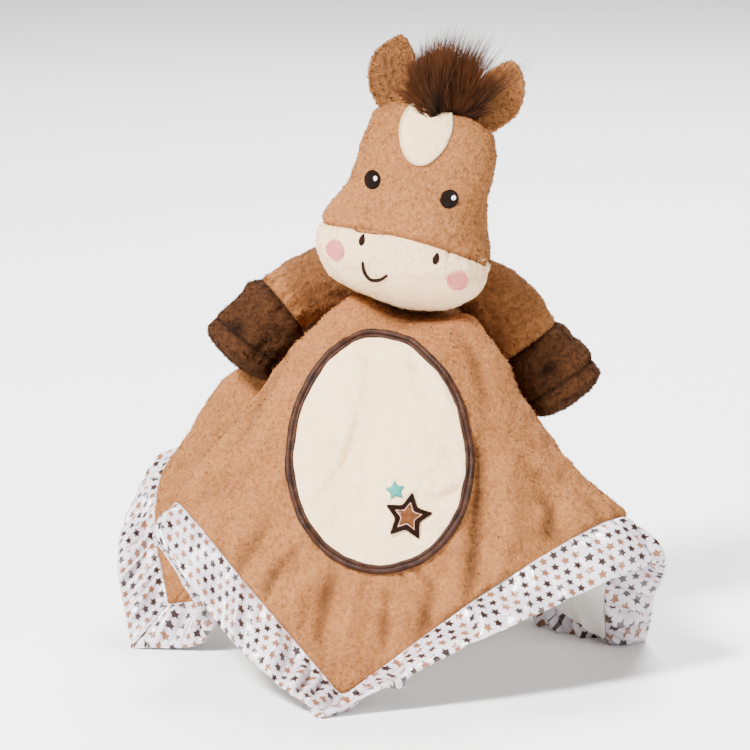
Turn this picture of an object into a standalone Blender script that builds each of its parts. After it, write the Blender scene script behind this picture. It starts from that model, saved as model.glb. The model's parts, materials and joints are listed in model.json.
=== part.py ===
"""Comfort blanket lovey: a stuffed horse head and two stuffed arms on the middle of a square
blanket, which stands like a tent on three of its corners and leans on the fourth.

Units are metres, +Z is up and the face looks along -Y. Everything is modelled round the
blanket's middle and is then centred over the origin.
"""

import math

import bmesh
import bpy
from mathutils import Matrix, Vector
from mathutils.bvhtree import BVHTree

# Driving sizes of the blanket
blanket_side = 0.432
border_width = 0.028
plush_thickness = 0.0025
lining_thickness = 0.0008
border_thickness = 0.0024
neck_height = 0.196
neck_forward = 0.0179
neck_radius = 0.0143
neck_tilt = math.radians(12)

# Clearances
cloth_gap = 0.0003
floor_cut = 0.0005
cutter_overrun = 0.02
weld_distance = 0.00001

# Driving sizes of the tummy patch and its two stars
patch_width = 0.0945
patch_height = 0.125
patch_thickness = 0.0012
piping_diameter = 0.0044
star_radius = 0.0134
star_stitch_width = 0.0024
small_star_radius = 0.0056
star_waist_share = 0.5
applique_thickness = 0.0009

# Driving sizes of the head
head_width = 0.099
head_height = 0.1148
head_depth = 0.064
head_roll = math.radians(12.5)
head_yaw = math.radians(-8.5)
head_forward = 0.0375
head_side = -0.0029
head_middle_height = 0.2572
skin_thickness = 0.0026
neck_ball_radius = 0.0094
neck_ball_rise = 0.0252
nod_limit = math.radians(12)

# Driving sizes of the face
eye_width = 0.0096
eye_height = 0.0102
eye_spacing = 0.0437
upper_face_shift = -0.0018
glint_radius = 0.0012
nostril_width = 0.0036
nostril_height = 0.0072
nostril_spacing = 0.042
cheek_radius = 0.0056
cheek_spacing = 0.0695
mouth_stitch_width = 0.0017
blaze_width = 0.027
blaze_height = 0.0345
blaze_stitch_width = 0.0016

# Driving sizes of the ears and the mane
ear_width = 0.0252
ear_height = 0.044
ear_thickness = 0.0075
ear_foot_thickness = 0.0016
ear_spacing = 0.0578
ear_swing = math.radians(15)
left_ear_lean = math.radians(1)
right_ear_lean = math.radians(8)
mane_width = 0.027
mane_height = 0.044
mane_depth = 0.022

# Driving sizes of the arms
arm_root_radius = 0.0123
sleeve_width = 0.032
sleeve_depth = 0.027
hoof_width = 0.047
hoof_depth = 0.034
sole_length = 0.0085
arm_back = 0.0045

sharp_edge_angle = math.radians(50)
half_side = blanket_side / 2
hole_radius = neck_radius + lining_thickness + 2 * cloth_gap
rest_height = border_thickness / 2 - floor_cut

# The blanket's control rings, corner to corner round the square, starting at the front corner
# and going by the right. The knots say where along a side each point lies.
SIDE_KNOT_SHARES = (0.0, 0.293, 0.5, 0.707, 1.0)
SEAM_SHARES = (
    (-0.199, -0.635, 0.016),
    (0.209, -0.557, 0.327),
    (0.508, -0.389, 0.457),
    (0.482, -0.220, 0.214),
    (0.492, -0.091, 0.014),
    (0.311, 0.117, 0.143),
    (0.363, 0.427, 0.429),
    (0.259, 0.549, 0.271),
    (0.194, 0.699, 0.011),
    (-0.246, 0.531, 0.314),
    (-0.583, 0.402, 0.486),
    (-0.698, 0.130, 0.367),
    (-0.661, -0.065, 0.108),
    (-0.526, -0.155, 0.189),
    (-0.624, -0.285, 0.473),
    (-0.444, -0.492, 0.300),
)
EDGE_SHARES = (
    (-0.252, -0.772, 0.000),
    (0.244, -0.648, 0.232),
    (0.599, -0.427, 0.336),
    (0.609, -0.207, 0.166),
    (0.601, -0.052, 0.000),
    (0.324, 0.124, 0.000),
    (0.420, 0.518, 0.320),
    (0.303, 0.640, 0.157),
    (0.246, 0.855, 0.000),
    (-0.272, 0.622, 0.206),
    (-0.661, 0.466, 0.400),
    (-0.794, 0.078, 0.263),
    (-0.756, -0.130, -0.006),
    (-0.554, -0.187, 0.057),
    (-0.680, -0.363, 0.398),
    (-0.475, -0.583, 0.158),
)
# Reach and height, in the same sixteen directions, of the shoulder that the cloth breaks over
# and of a ring halfway down.
SHOULDER_SHARES = (
    (0.255, 0.906),
    (0.224, 0.943),
    (0.204, 0.966),
    (0.135, 0.909),
    (0.105, 0.866),
    (0.109, 0.866),
    (0.183, 0.900),
    (0.222, 0.929),
    (0.261, 0.943),
    (0.242, 0.943),
    (0.238, 0.966),
    (0.237, 0.951),
    (0.124, 0.920),
    (0.121, 0.920),
    (0.215, 1.023),
    (0.235, 0.957),
)
BELLY_SHARES = (
    (0.411, 0.537),
    (0.404, 0.643),
    (0.374, 0.680),
    (0.297, 0.566),
    (0.237, 0.514),
    (0.215, 0.557),
    (0.409, 0.700),
    (0.438, 0.586),
    (0.556, 0.471),
    (0.438, 0.600),
    (0.495, 0.749),
    (0.533, 0.714),
    (0.324, 0.543),
    (0.285, 0.514),
    (0.452, 0.749),
    (0.427, 0.671),
)
ROW_KNOT_SHARES = (0.0, 0.2, 0.6, 1.0, 1.15)
shoulder_turned_share = 0.5
belly_turned_share = 0.85
front_corner_turn = math.radians(-15)
columns_per_side = 14
panel_rows = 9
border_rows = 2

# How far the head swells from a round ball, by height from the crown to the chin: the half
# width, the half depth, and how far the middle lies forward.
HEAD_SHARES = (
    (-1.00, 1.17, 1.06, 0.00),
    (-0.85, 1.18, 1.03, 0.00),
    (-0.68, 0.97, 0.94, 0.00),
    (-0.44, 0.85, 0.86, 0.00),
    (-0.19, 0.795, 0.85, 0.00),
    (0.00, 0.84, 0.88, 0.03),
    (0.22, 0.96, 0.95, 0.07),
    (0.39, 1.07, 1.06, 0.10),
    (0.55, 1.19, 1.17, 0.11),
    (0.69, 1.29, 1.27, 0.09),
    (0.83, 1.41, 1.36, 0.06),
    (0.93, 1.49, 1.40, 0.02),
    (1.00, 1.52, 1.42, 0.00),
)
head_squareness_share = 0.9

parts = bpy.data.collections.new("comfort_blanket_lovey")
helpers = bpy.data.collections.new("cutters")
materials = {}


def clear_scene():
    for obj in list(bpy.data.objects):
        bpy.data.objects.remove(obj, do_unlink=True)
    bpy.context.scene.collection.children.link(parts)
    bpy.context.scene.collection.children.link(helpers)


def material(name, colour, roughness):
    if name not in materials:
        made = bpy.data.materials.new(name)
        made.use_nodes = True
        shader = made.node_tree.nodes["Principled BSDF"]
        shader.inputs["Base Color"].default_value = (*colour, 1)
        shader.inputs["Roughness"].default_value = roughness
        shader.inputs["Metallic"].default_value = 0
        materials[name] = made
    return materials[name]


def tan_plush():
    return material("tan_plush", (0.62, 0.36, 0.19), 0.95)


def cream_plush():
    return material("cream_plush", (0.82, 0.70, 0.56), 0.95)


def brown_plush():
    return material("brown_plush", (0.11, 0.045, 0.016), 0.95)


def printed_satin():
    return material("printed_satin", (0.86, 0.82, 0.79), 0.35)


def white_lining():
    return material("white_lining", (0.83, 0.79, 0.73), 0.6)


def brown_cord():
    return material("brown_cord", (0.075, 0.03, 0.015), 0.5)


def brown_thread():
    return material("brown_thread", (0.05, 0.022, 0.014), 0.45)


def white_thread():
    return material("white_thread", (0.9, 0.88, 0.85), 0.45)


def pink_thread():
    return material("pink_thread", (0.72, 0.33, 0.3), 0.5)


def teal_thread():
    return material("teal_thread", (0.16, 0.5, 0.46), 0.5)


def brown_felt():
    return material("brown_felt", (0.26, 0.12, 0.05), 0.9)


def stuffing():
    return material("stuffing", (0.88, 0.88, 0.86), 1.0)


def dark_fur():
    return material("dark_fur", (0.075, 0.027, 0.009), 0.9)


def add_object(name, mesh, finish=None, group=None):
    obj = bpy.data.objects.new(name, mesh)
    (group or parts).objects.link(obj)
    if finish:
        mesh.materials.append(finish)
    return obj


def add_cutter(name, mesh):
    cutter = add_object(name, mesh, group=helpers)
    cutter.hide_render = True
    cutter.display_type = "WIRE"
    return cutter


def boolean(obj, operation, other):
    modifier = obj.modifiers.new(operation.lower(), "BOOLEAN")
    modifier.operation = operation
    modifier.solver = "EXACT"
    modifier.object = other


def smooth(obj):
    obj.data.shade_smooth()
    obj.data.set_sharp_from_angle(angle=sharp_edge_angle)


def along(values, knots, where):
    """Smooth curve through the values, each a number or a vector, at the place where."""
    last = len(knots) - 1
    k = max(0, min(last - 1, sum(knot <= where for knot in knots) - 1))

    def slope(i):
        before, after = max(0, i - 1), min(last, i + 1)
        return (values[after] - values[before]) / (knots[after] - knots[before])

    span = knots[k + 1] - knots[k]
    s = (where - knots[k]) / span
    return (
        values[k] * (1 + 2 * s) * (1 - s) ** 2
        + slope(k) * span * s * (1 - s) ** 2
        + values[k + 1] * s * s * (3 - 2 * s)
        + slope(k + 1) * span * s * s * (s - 1)
    )


def compass(turn):
    """Unit vector on the ground: 0 points forwards, a quarter turn to the right."""
    return Vector((math.sin(turn), -math.cos(turn), 0))


neck_foot = Vector((0, -neck_forward, 0))


def ring_point(shares, side, share):
    """Point of a control ring: side counts the blanket's sides, share runs along the side."""
    rows = [shares[(4 * side + i) % len(shares)] for i in range(len(SIDE_KNOT_SHARES))]
    points = [
        Vector((x * half_side, y * half_side, rest_height + z * neck_height))
        for x, y, z in rows
    ]
    return along(points, SIDE_KNOT_SHARES, share)


def slope_point(shares, side, share, flat_way, seam_way, turned_share):
    """Point partway down the blanket, in a direction between the flat cloth's and the seam's."""
    rows = [shares[(4 * side + i) % len(shares)] for i in range(len(SIDE_KNOT_SHARES))]
    reach, height = (
        along([row[i] for row in rows], SIDE_KNOT_SHARES, share) for i in (0, 1)
    )
    way = flat_way.lerp(seam_way, turned_share).normalized()
    return neck_foot + way * reach * half_side + Vector((0, 0, height * neck_height))


def cloth_point(side, share, row):
    """Point of the blanket: row is 0 at the neck, 1 at the border's seam and the last row knot
    at the outer edge."""
    flat_turn = front_corner_turn + math.radians(90 * side + 45) + math.atan(2 * share - 1)
    ring = compass(flat_turn) * hole_radius
    neck = neck_foot + ring + Vector((0, 0, neck_height + math.tan(neck_tilt) * ring.y))
    seam = ring_point(SEAM_SHARES, side, share)
    edge = ring_point(EDGE_SHARES, side, share)
    flat_way = compass(flat_turn)
    seam_way = Vector((seam.x - neck_foot.x, seam.y - neck_foot.y, 0)).normalized()
    ways = (flat_way, seam_way)
    shoulder = slope_point(SHOULDER_SHARES, side, share, *ways, shoulder_turned_share)
    belly = slope_point(BELLY_SHARES, side, share, *ways, belly_turned_share)
    return along([neck, shoulder, belly, seam, edge], ROW_KNOT_SHARES, row)


def row_shares():
    border = ROW_KNOT_SHARES[-1] - 1
    rows = [i / panel_rows for i in range(panel_rows + 1)]
    return rows + [1 + border * (i + 1) / border_rows for i in range(border_rows)]


def blanket_grid():
    """Points and upward normals of the whole blanket, by row and column."""
    columns = [
        (side, i / columns_per_side) for side in range(4) for i in range(columns_per_side)
    ]
    rows = row_shares()
    points = [[cloth_point(side, share, row) for side, share in columns] for row in rows]
    normals = []
    for r, line in enumerate(points):
        below, above = points[max(r - 1, 0)], points[min(r + 1, len(points) - 1)]
        normals.append(
            [
                (above[c] - below[c])
                .cross(line[(c + 1) % len(line)] - line[c - 1])
                .normalized()
                for c in range(len(line))
            ]
        )
    count = len(columns)
    softened = [
        [(line[c - 1] + 2 * line[c] + line[(c + 1) % count]).normalized() for c in range(count)]
        for line in normals
    ]
    return points, softened


def sheet_solid(points, normals, low, high, ring):
    """Closed cloth between two offsets of a grid of points, triangulated alike at each offset
    so that stacked layers never cross."""
    count_rows, count_columns = len(points), len(points[0])
    mesh = bmesh.new()
    layers = [
        [
            [mesh.verts.new(p + n * offset) for p, n in zip(line, line_normals)]
            for line, line_normals in zip(points, normals)
        ]
        for offset in (low, high)
    ]
    bottom, top = layers
    spans = count_columns if ring else count_columns - 1
    for r in range(count_rows - 1):
        for c in range(spans):
            d = (c + 1) % count_columns
            for layer, up in ((top, True), (bottom, False)):
                quad = (layer[r][c], layer[r + 1][c], layer[r + 1][d], layer[r][d])
                for corners in ((quad[0], quad[1], quad[2]), (quad[0], quad[2], quad[3])):
                    mesh.faces.new(corners if up else corners[::-1])
    rim = [(0, c, 0, (c + 1) % count_columns) for c in range(spans)]
    last = count_rows - 1
    rim += [(last, (c + 1) % count_columns, last, c) for c in range(spans)]
    if not ring:
        end = count_columns - 1
        rim += [(r + 1, 0, r, 0) for r in range(last)]
        rim += [(r, end, r + 1, end) for r in range(last)]
    for r, c, s, d in rim:
        mesh.faces.new((bottom[r][c], top[r][c], top[s][d]))
        mesh.faces.new((bottom[r][c], top[s][d], bottom[s][d]))
    made = bpy.data.meshes.new("sheet")
    bmesh.ops.recalc_face_normals(mesh, faces=mesh.faces)
    mesh.to_mesh(made)
    mesh.free()
    return made


def prism(outline, frame, near, far):
    """Closed block over a flat outline in the frame's XY plane, from near to far along its Z."""
    mesh = bmesh.new()
    base = mesh.faces.new([mesh.verts.new((x, y, near)) for x, y in outline])
    grown = bmesh.ops.extrude_face_region(mesh, geom=[base])
    top = [v for v in grown["geom"] if isinstance(v, bmesh.types.BMVert)]
    bmesh.ops.translate(mesh, verts=top, vec=(0, 0, far - near))
    bmesh.ops.transform(mesh, matrix=frame, verts=mesh.verts)
    bmesh.ops.recalc_face_normals(mesh, faces=mesh.faces)
    made = bpy.data.meshes.new("prism")
    mesh.to_mesh(made)
    mesh.free()
    return made


def ring_prism(outline, hole, frame, near, far):
    """Closed ring-shaped block between an outline and a hole of as many points."""
    mesh = bmesh.new()
    outer, inner = (
        [mesh.verts.new((x, y, near)) for x, y in points] for points in (outline, hole)
    )
    count = len(outer)
    base = []
    for i in range(count):
        j = (i + 1) % count
        base.append(mesh.faces.new((outer[i], outer[j], inner[j], inner[i])))
    grown = bmesh.ops.extrude_face_region(mesh, geom=base)
    top = [v for v in grown["geom"] if isinstance(v, bmesh.types.BMVert)]
    bmesh.ops.translate(mesh, verts=top, vec=(0, 0, far - near))
    bmesh.ops.transform(mesh, matrix=frame, verts=mesh.verts)
    bmesh.ops.recalc_face_normals(mesh, faces=mesh.faces)
    made = bpy.data.meshes.new("ring_prism")
    mesh.to_mesh(made)
    mesh.free()
    return made


def oval(width, height, middle=(0, 0), steps=32, narrowing=0.0):
    """Egg outline: a positive narrowing draws the top in."""
    points = []
    for i in range(steps):
        turn = 2 * math.pi * i / steps
        y = math.sin(turn)
        x = math.cos(turn) * (1 - narrowing * y)
        points.append((middle[0] + x * width / 2, middle[1] + y * height / 2))
    return points


def star(radius, middle, turn, waist_share=star_waist_share, points=5):
    outline = []
    for i in range(2 * points):
        reach = radius * (waist_share if i % 2 else 1)
        angle = turn + math.pi / 2 + math.pi * i / points
        outline.append(
            (middle[0] + reach * math.cos(angle), middle[1] + reach * math.sin(angle))
        )
    return outline


def evaluated_tree(obj):
    bpy.context.view_layer.update()
    return BVHTree.FromObject(obj, bpy.context.evaluated_depsgraph_get())


# The tummy patch and its stars are laid out in the plane that faces someone who looks a little
# down at the lovey. Its X runs to the right, its Y up and its Z towards that person.
tummy_look_down = math.radians(12)
tummy_frame = Matrix.Rotation(math.radians(90) - tummy_look_down, 4, "X")
patch_middle = (-0.106 * half_side, 0.551 * neck_height)
patch_tilt = math.radians(1.5)
patch_narrowing_share = 0.08
star_turn = math.radians(-10)
small_star_turn = math.radians(8)
STAR_MIDDLE_SHARES = (0.165, -0.284)
SMALL_STAR_MIDDLE_SHARES = (0.093, -0.171)


def on_patch(shares):
    """Point of the patch at shares of its width and height from its middle."""
    return (
        patch_middle[0] + shares[0] * patch_width,
        patch_middle[1] + shares[1] * patch_height,
    )


def turned(outline, middle, angle):
    c, s = math.cos(angle), math.sin(angle)
    return [
        (
            middle[0] + (x - middle[0]) * c - (y - middle[1]) * s,
            middle[1] + (x - middle[0]) * s + (y - middle[1]) * c,
        )
        for x, y in outline
    ]


def patch_outline(grow, steps):
    egg = oval(
        patch_width + 2 * grow,
        patch_height + 2 * grow,
        patch_middle,
        steps,
        patch_narrowing_share,
    )
    return turned(egg, patch_middle, patch_tilt)


def make_blanket():
    points, normals = blanket_grid()
    panel_lines = points[: panel_rows + 1]
    panel_normals = normals[: panel_rows + 1]
    outer = [
        p.lerp(points[panel_rows - 1][c], cloth_gap / border_width)
        for c, p in enumerate(panel_lines[-1])
    ]
    panel_lines = panel_lines[:-1] + [outer]
    panel = add_object(
        "blanket_plush_panel",
        sheet_solid(
            panel_lines, panel_normals, cloth_gap / 2, cloth_gap / 2 + plush_thickness, True
        ),
        tan_plush(),
    )
    smooth(panel)
    lining = add_object(
        "blanket_lining",
        sheet_solid(
            panel_lines,
            panel_normals,
            -cloth_gap / 2 - lining_thickness,
            -cloth_gap / 2,
            True,
        ),
        white_lining(),
    )
    smooth(lining)
    make_borders(points, normals)
    make_patch(panel, panel_lines, panel_normals)


def make_borders(points, normals):
    reach = blanket_side
    floor = add_cutter(
        "floor_under_border",
        prism(
            [(-reach, -reach), (reach, -reach), (reach, reach), (-reach, reach)],
            Matrix.Identity(4),
            -cutter_overrun,
            0,
        ),
    )
    names = ("front_right", "back_right", "back_left", "front_left")
    last = 4 * columns_per_side
    for side, name in enumerate(names):
        columns = [(side * columns_per_side + i) % last for i in range(columns_per_side + 1)]
        lines = [[line[c].copy() for c in columns] for line in points[panel_rows:]]
        line_normals = [[line[c] for c in columns] for line in normals[panel_rows:]]
        inner = zip(lines[0], lines[1])
        lines[0] = [a.lerp(b, 2 * border_rows * cloth_gap / border_width) for a, b in inner]
        for line in lines:
            for end, nearby in ((0, 1), (-1, -2)):
                step = (line[nearby] - line[end]).normalized()
                line[end] += step * cloth_gap
        border = add_object(
            f"satin_border_{name}",
            sheet_solid(
                lines, line_normals, -border_thickness / 2, border_thickness / 2, False
            ),
            printed_satin(),
        )
        boolean(border, "DIFFERENCE", floor)
        smooth(border)


def make_patch(panel, lines, normals):
    """The oval, its piping and both stars follow the facets of the panel below them."""
    span = columns_per_side - 2
    total = 4 * columns_per_side
    columns = [c % total for c in range(-span, span + 1)]
    near_lines = [[line[c] for c in columns] for line in lines[1:]]
    near_normals = [[line[c] for c in columns] for line in normals[1:]]
    panel_top = cloth_gap / 2 + plush_thickness
    far = blanket_side

    def layer(name, low, thickness, outline, finish, hole=None):
        piece = add_object(
            name,
            sheet_solid(near_lines, near_normals, low, low + thickness, False),
            finish,
        )
        if hole:
            block = ring_prism(outline, hole, tummy_frame, -far, far)
        else:
            block = prism(outline, tummy_frame, -far, far)
        boolean(piece, "INTERSECT", add_cutter(f"outline_{name}", block))
        smooth(piece)

    layer(
        "tummy_patch",
        panel_top + cloth_gap,
        patch_thickness,
        patch_outline(0, 40),
        cream_plush(),
    )
    patch_top = panel_top + cloth_gap + patch_thickness
    star_middle = on_patch(STAR_MIDDLE_SHARES)
    rim = star(star_radius, star_middle, star_turn)
    inner_radius = star_radius - 2 * star_stitch_width
    layer(
        "star_stitching",
        patch_top + cloth_gap,
        applique_thickness,
        rim,
        brown_thread(),
        hole=star(inner_radius, star_middle, star_turn),
    )
    layer(
        "brown_star",
        patch_top + cloth_gap,
        applique_thickness,
        star(inner_radius - 2 * cloth_gap, star_middle, star_turn),
        brown_felt(),
    )
    layer(
        "small_star",
        patch_top + cloth_gap,
        applique_thickness,
        star(small_star_radius, on_patch(SMALL_STAR_MIDDLE_SHARES), small_star_turn),
        teal_thread(),
    )
    make_piping(panel)


def make_piping(panel):
    tree = evaluated_tree(panel)
    radius = piping_diameter / 2
    towards = tummy_frame.to_3x3() @ Vector((0, 0, 1))
    outline = patch_outline(radius + 2 * cloth_gap, 52)
    curve = bpy.data.curves.new("piping", "CURVE")
    curve.dimensions = "3D"
    curve.bevel_depth = radius
    curve.bevel_resolution = 1
    spline = curve.splines.new("POLY")
    spline.points.add(len(outline) - 1)
    spline.use_cyclic_u = True
    for point, (x, y) in zip(spline.points, outline):
        eye = tummy_frame @ Vector((x, y, blanket_side))
        seat, normal, _, _ = tree.ray_cast(eye, -towards)
        point.co = (*(seat + normal * (radius + 2 * cloth_gap)), 1)
    curve.materials.append(brown_cord())
    piping = bpy.data.objects.new("patch_piping", curve)
    parts.objects.link(piping)


# The head's own frame: X to its left side as it looks at us, Z up, -Y out of the face.
head_half = Vector((head_width / 2, head_depth / 2, head_height / 2))
head_frame = (
    Matrix.Translation((head_side, -head_forward, head_middle_height))
    @ Matrix.Rotation(head_roll, 4, "Y")
    @ Matrix.Rotation(head_yaw, 4, "Z")
)
face_frame = head_frame @ Matrix.Rotation(math.pi / 2, 4, "X")
neck_pivot = neck_foot + Vector((0, 0, neck_height + neck_ball_rise))


def head_form(grow, segments=28, rings=18):
    """The stuffed head as one closed form, grown or shrunk all round."""
    mesh = bmesh.new()
    bmesh.ops.create_uvsphere(mesh, u_segments=segments, v_segments=rings, radius=1)
    knots = [row[0] for row in HEAD_SHARES]
    half = head_half + Vector((grow, grow, grow))
    for vert in mesh.verts:
        down = -vert.co.z
        round_share = math.hypot(vert.co.x, vert.co.y)
        wide, deep, forward = (
            along([row[i] for row in HEAD_SHARES], knots, down) for i in (1, 2, 3)
        )
        turn = math.atan2(vert.co.y, vert.co.x)
        across, back = (
            math.copysign(abs(f(turn)) ** head_squareness_share, f(turn))
            for f in (math.cos, math.sin)
        )
        vert.co = (
            across * round_share * wide * half.x,
            back * round_share * deep * half.y - forward * head_half.y,
            vert.co.z * half.z,
        )
    bmesh.ops.transform(mesh, matrix=head_frame, verts=mesh.verts)
    made = bpy.data.meshes.new("head_form")
    mesh.to_mesh(made)
    mesh.free()
    return made


# The seam between the tan head and the cream muzzle, as height shares of the head: across the
# front, at the sides and at the back.
muzzle_front_share = -0.30
muzzle_side_share = -0.48
muzzle_back_share = -0.62


def muzzle_region(raised):
    """Closed block that holds all of the head below the muzzle's seam."""
    steps = 12
    wide = head_width / 2 + cutter_overrun
    deep = head_depth / 2 + cutter_overrun
    mesh = bmesh.new()
    lid = []
    for i in range(steps + 1):
        across = 2 * i / steps - 1
        line = []
        for j in range(steps + 1):
            back = 2 * j / steps - 1
            side_drop = (muzzle_side_share - muzzle_front_share) * across**2
            back_drop = (muzzle_back_share - muzzle_front_share) * max(0, back)
            height = (muzzle_front_share + side_drop + back_drop) * head_half.z + raised
            line.append(mesh.verts.new((across * wide, back * deep, height)))
        lid.append(line)
    for i in range(steps):
        for j in range(steps):
            mesh.faces.new((lid[i][j], lid[i + 1][j], lid[i + 1][j + 1], lid[i][j + 1]))
    grown = bmesh.ops.extrude_face_region(mesh, geom=list(mesh.faces))
    moved = [v for v in grown["geom"] if isinstance(v, bmesh.types.BMVert)]
    for vert in moved:
        vert.co.z = -head_half.z - cutter_overrun
    bmesh.ops.recalc_face_normals(mesh, faces=mesh.faces)
    bmesh.ops.transform(mesh, matrix=head_frame, verts=mesh.verts)
    made = bpy.data.meshes.new("muzzle_region")
    mesh.to_mesh(made)
    mesh.free()
    return made


def turned_solid(name, profile, middle, steps, finish=None):
    """Closed body of revolution about a vertical line through middle, from a profile of radius
    and height that runs from the top down."""
    mesh = bpy.data.meshes.new(name)
    points = [(r, 0, z) for r, z in profile]
    mesh.from_pydata(points, [(i, i + 1) for i in range(len(points) - 1)], [])
    obj = add_object(name, mesh, finish) if finish else add_cutter(name, mesh)
    screw = obj.modifiers.new("turn", "SCREW")
    screw.steps = steps
    screw.render_steps = steps
    screw.use_merge_vertices = True
    screw.merge_threshold = weld_distance
    obj.location = middle
    return obj


def ball_profile(radius, lowest, steps=8):
    """Quarter circles from the top of a ball down to the angle lowest below its middle."""
    start, end = math.pi / 2, -lowest
    angles = [start + (end - start) * i / steps for i in range(steps + 1)]
    return [(radius * math.cos(a), radius * math.sin(a)) for a in angles]


def make_neck():
    """Stuffed knob that the head sits on, standing in the blanket's middle hole."""
    foot = -neck_ball_rise - 3 * plush_thickness
    shoulder = -neck_ball_rise + plush_thickness
    profile = ball_profile(neck_ball_radius, math.radians(50))
    profile += [(neck_radius, shoulder), (neck_radius, foot), (0, foot)]
    neck = turned_solid("neck_knob", profile, neck_pivot, 32, tan_plush())
    smooth(neck)


def make_neck_socket():
    """Room for the knob in the head, opening downwards as far as a nod needs."""
    radius = neck_ball_radius + cloth_gap
    depth = head_height / 2
    flare = depth * math.tan(nod_limit) + neck_radius
    profile = ball_profile(radius, 0)
    profile += [(flare, -depth), (0, -depth)]
    return turned_solid("neck_socket", profile, neck_pivot, 32)


def make_head():
    inner = add_cutter("head_inside", head_form(-skin_thickness, 20, 12))
    muzzle_below = add_cutter("muzzle_side", muzzle_region(-cloth_gap / 2))
    muzzle_raised = add_cutter("muzzle_side_raised", muzzle_region(cloth_gap / 2))
    socket = make_neck_socket()

    crown = add_object("head_crown", head_form(0), tan_plush())
    boolean(crown, "DIFFERENCE", muzzle_raised)
    muzzle = add_object("head_muzzle", head_form(0), cream_plush())
    boolean(muzzle, "INTERSECT", muzzle_below)
    for skin in (crown, muzzle):
        boolean(skin, "DIFFERENCE", inner)
        boolean(skin, "DIFFERENCE", socket)
        smooth(skin)

    filling = add_object(
        "head_filling", head_form(-skin_thickness - cloth_gap, 20, 12), stuffing()
    )
    boolean(filling, "DIFFERENCE", socket)
    smooth(filling)
    return [crown, muzzle, filling]


def face_piece(name, outline, low, thickness, finish, hole=None):
    """Thin piece laid over the front of the head inside an outline in the face's plane."""
    near, far = skin_thickness, head_depth
    piece = add_object(name, head_form(low + thickness), finish)
    under = add_cutter(f"under_{name}", head_form(low))
    if hole:
        block = ring_prism(outline, hole, face_frame, near, far)
    else:
        block = prism(outline, face_frame, near, far)
    boolean(piece, "INTERSECT", add_cutter(f"outline_{name}", block))
    boolean(piece, "DIFFERENCE", under)
    smooth(piece)
    return piece


def leaf(width, height, middle, steps=12):
    """Outline with a round foot and a pointed top."""
    points = []
    for i in range(steps):
        turn = 2 * math.pi * i / steps
        y = -math.cos(turn)
        x = math.sin(turn) * (1 - nostril_narrowing_share * max(0, y))
        points.append((middle[0] + x * width / 2, middle[1] + y * height / 2))
    return points


def band(path, width):
    """Outline of a narrow band of even width along an open path."""
    left, right = [], []
    for i, point in enumerate(path):
        before, after = path[max(i - 1, 0)], path[min(i + 1, len(path) - 1)]
        way = (Vector(after) - Vector(before)).normalized()
        side = Vector((-way.y, way.x)) * width / 2
        left.append(tuple(Vector(point) + side))
        right.append(tuple(Vector(point) - side))
    return left + right[::-1]


# Heights on the face, as shares of half the head's height from its middle
eye_height_share = 0.19
nostril_height_share = -0.37
cheek_height_share = -0.55
blaze_height_share = 0.74
MOUTH_SHARES = ((-0.36, -0.57), (-0.32, -0.67), (-0.24, -0.73), (-0.14, -0.71), (-0.06, -0.64))
blaze_narrowing_share = -0.16
nostril_narrowing_share = 0.45
GLINT_MIDDLE_SHARES = (0.24, 0.12)
face_piece_thickness = 0.0009


def mouth_path():
    knots = [i / (len(MOUTH_SHARES) - 1) for i in range(len(MOUTH_SHARES))]
    points = [Vector((x * head_half.x, y * head_half.z)) for x, y in MOUTH_SHARES]
    steps = 2 * len(points)
    return [tuple(along(points, knots, i / steps)) for i in range(steps + 1)]


def blaze_outline(grow):
    """Upside-down drop: round foot between the eyes, open top under the mane."""
    width, height = blaze_width + 2 * grow, blaze_height + 2 * grow
    middle = blaze_height_share * head_half.z
    return oval(width, height, (upper_face_shift, middle), 28, blaze_narrowing_share)


def make_face():
    pieces = [
        face_piece(
            "forehead_blaze",
            blaze_outline(-blaze_stitch_width / 2 - cloth_gap),
            cloth_gap,
            face_piece_thickness,
            cream_plush(),
        ),
        face_piece(
            "blaze_stitching",
            blaze_outline(blaze_stitch_width / 2),
            cloth_gap,
            face_piece_thickness,
            white_thread(),
            hole=blaze_outline(-blaze_stitch_width / 2),
        ),
        face_piece(
            "mouth_stitching",
            band(mouth_path(), mouth_stitch_width),
            cloth_gap,
            face_piece_thickness,
            brown_thread(),
        ),
    ]
    for side, name in ((-1, "left"), (1, "right")):
        eye = (side * eye_spacing / 2 + upper_face_shift, eye_height_share * head_half.z)
        glint = (
            eye[0] + eye_width * GLINT_MIDDLE_SHARES[0],
            eye[1] + eye_height * GLINT_MIDDLE_SHARES[1],
        )
        nostril = (side * nostril_spacing / 2, nostril_height_share * head_half.z)
        cheek = (side * cheek_spacing / 2, cheek_height_share * head_half.z)
        above_eye = face_piece_thickness + 2 * cloth_gap
        pieces += [
            face_piece(
                f"eye_{name}",
                oval(eye_width, eye_height, eye, 16),
                cloth_gap,
                face_piece_thickness,
                brown_thread(),
            ),
            face_piece(
                f"eye_glint_{name}",
                oval(2 * glint_radius, 2 * glint_radius, glint, 8),
                above_eye,
                face_piece_thickness,
                white_thread(),
            ),
            face_piece(
                f"nostril_{name}",
                leaf(nostril_width, nostril_height, nostril),
                cloth_gap,
                face_piece_thickness,
                brown_thread(),
            ),
            face_piece(
                f"cheek_{name}",
                oval(2 * cheek_radius, 2 * cheek_radius, cheek, 16),
                cloth_gap,
                face_piece_thickness,
                pink_thread(),
            ),
        ]
    return pieces


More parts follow.
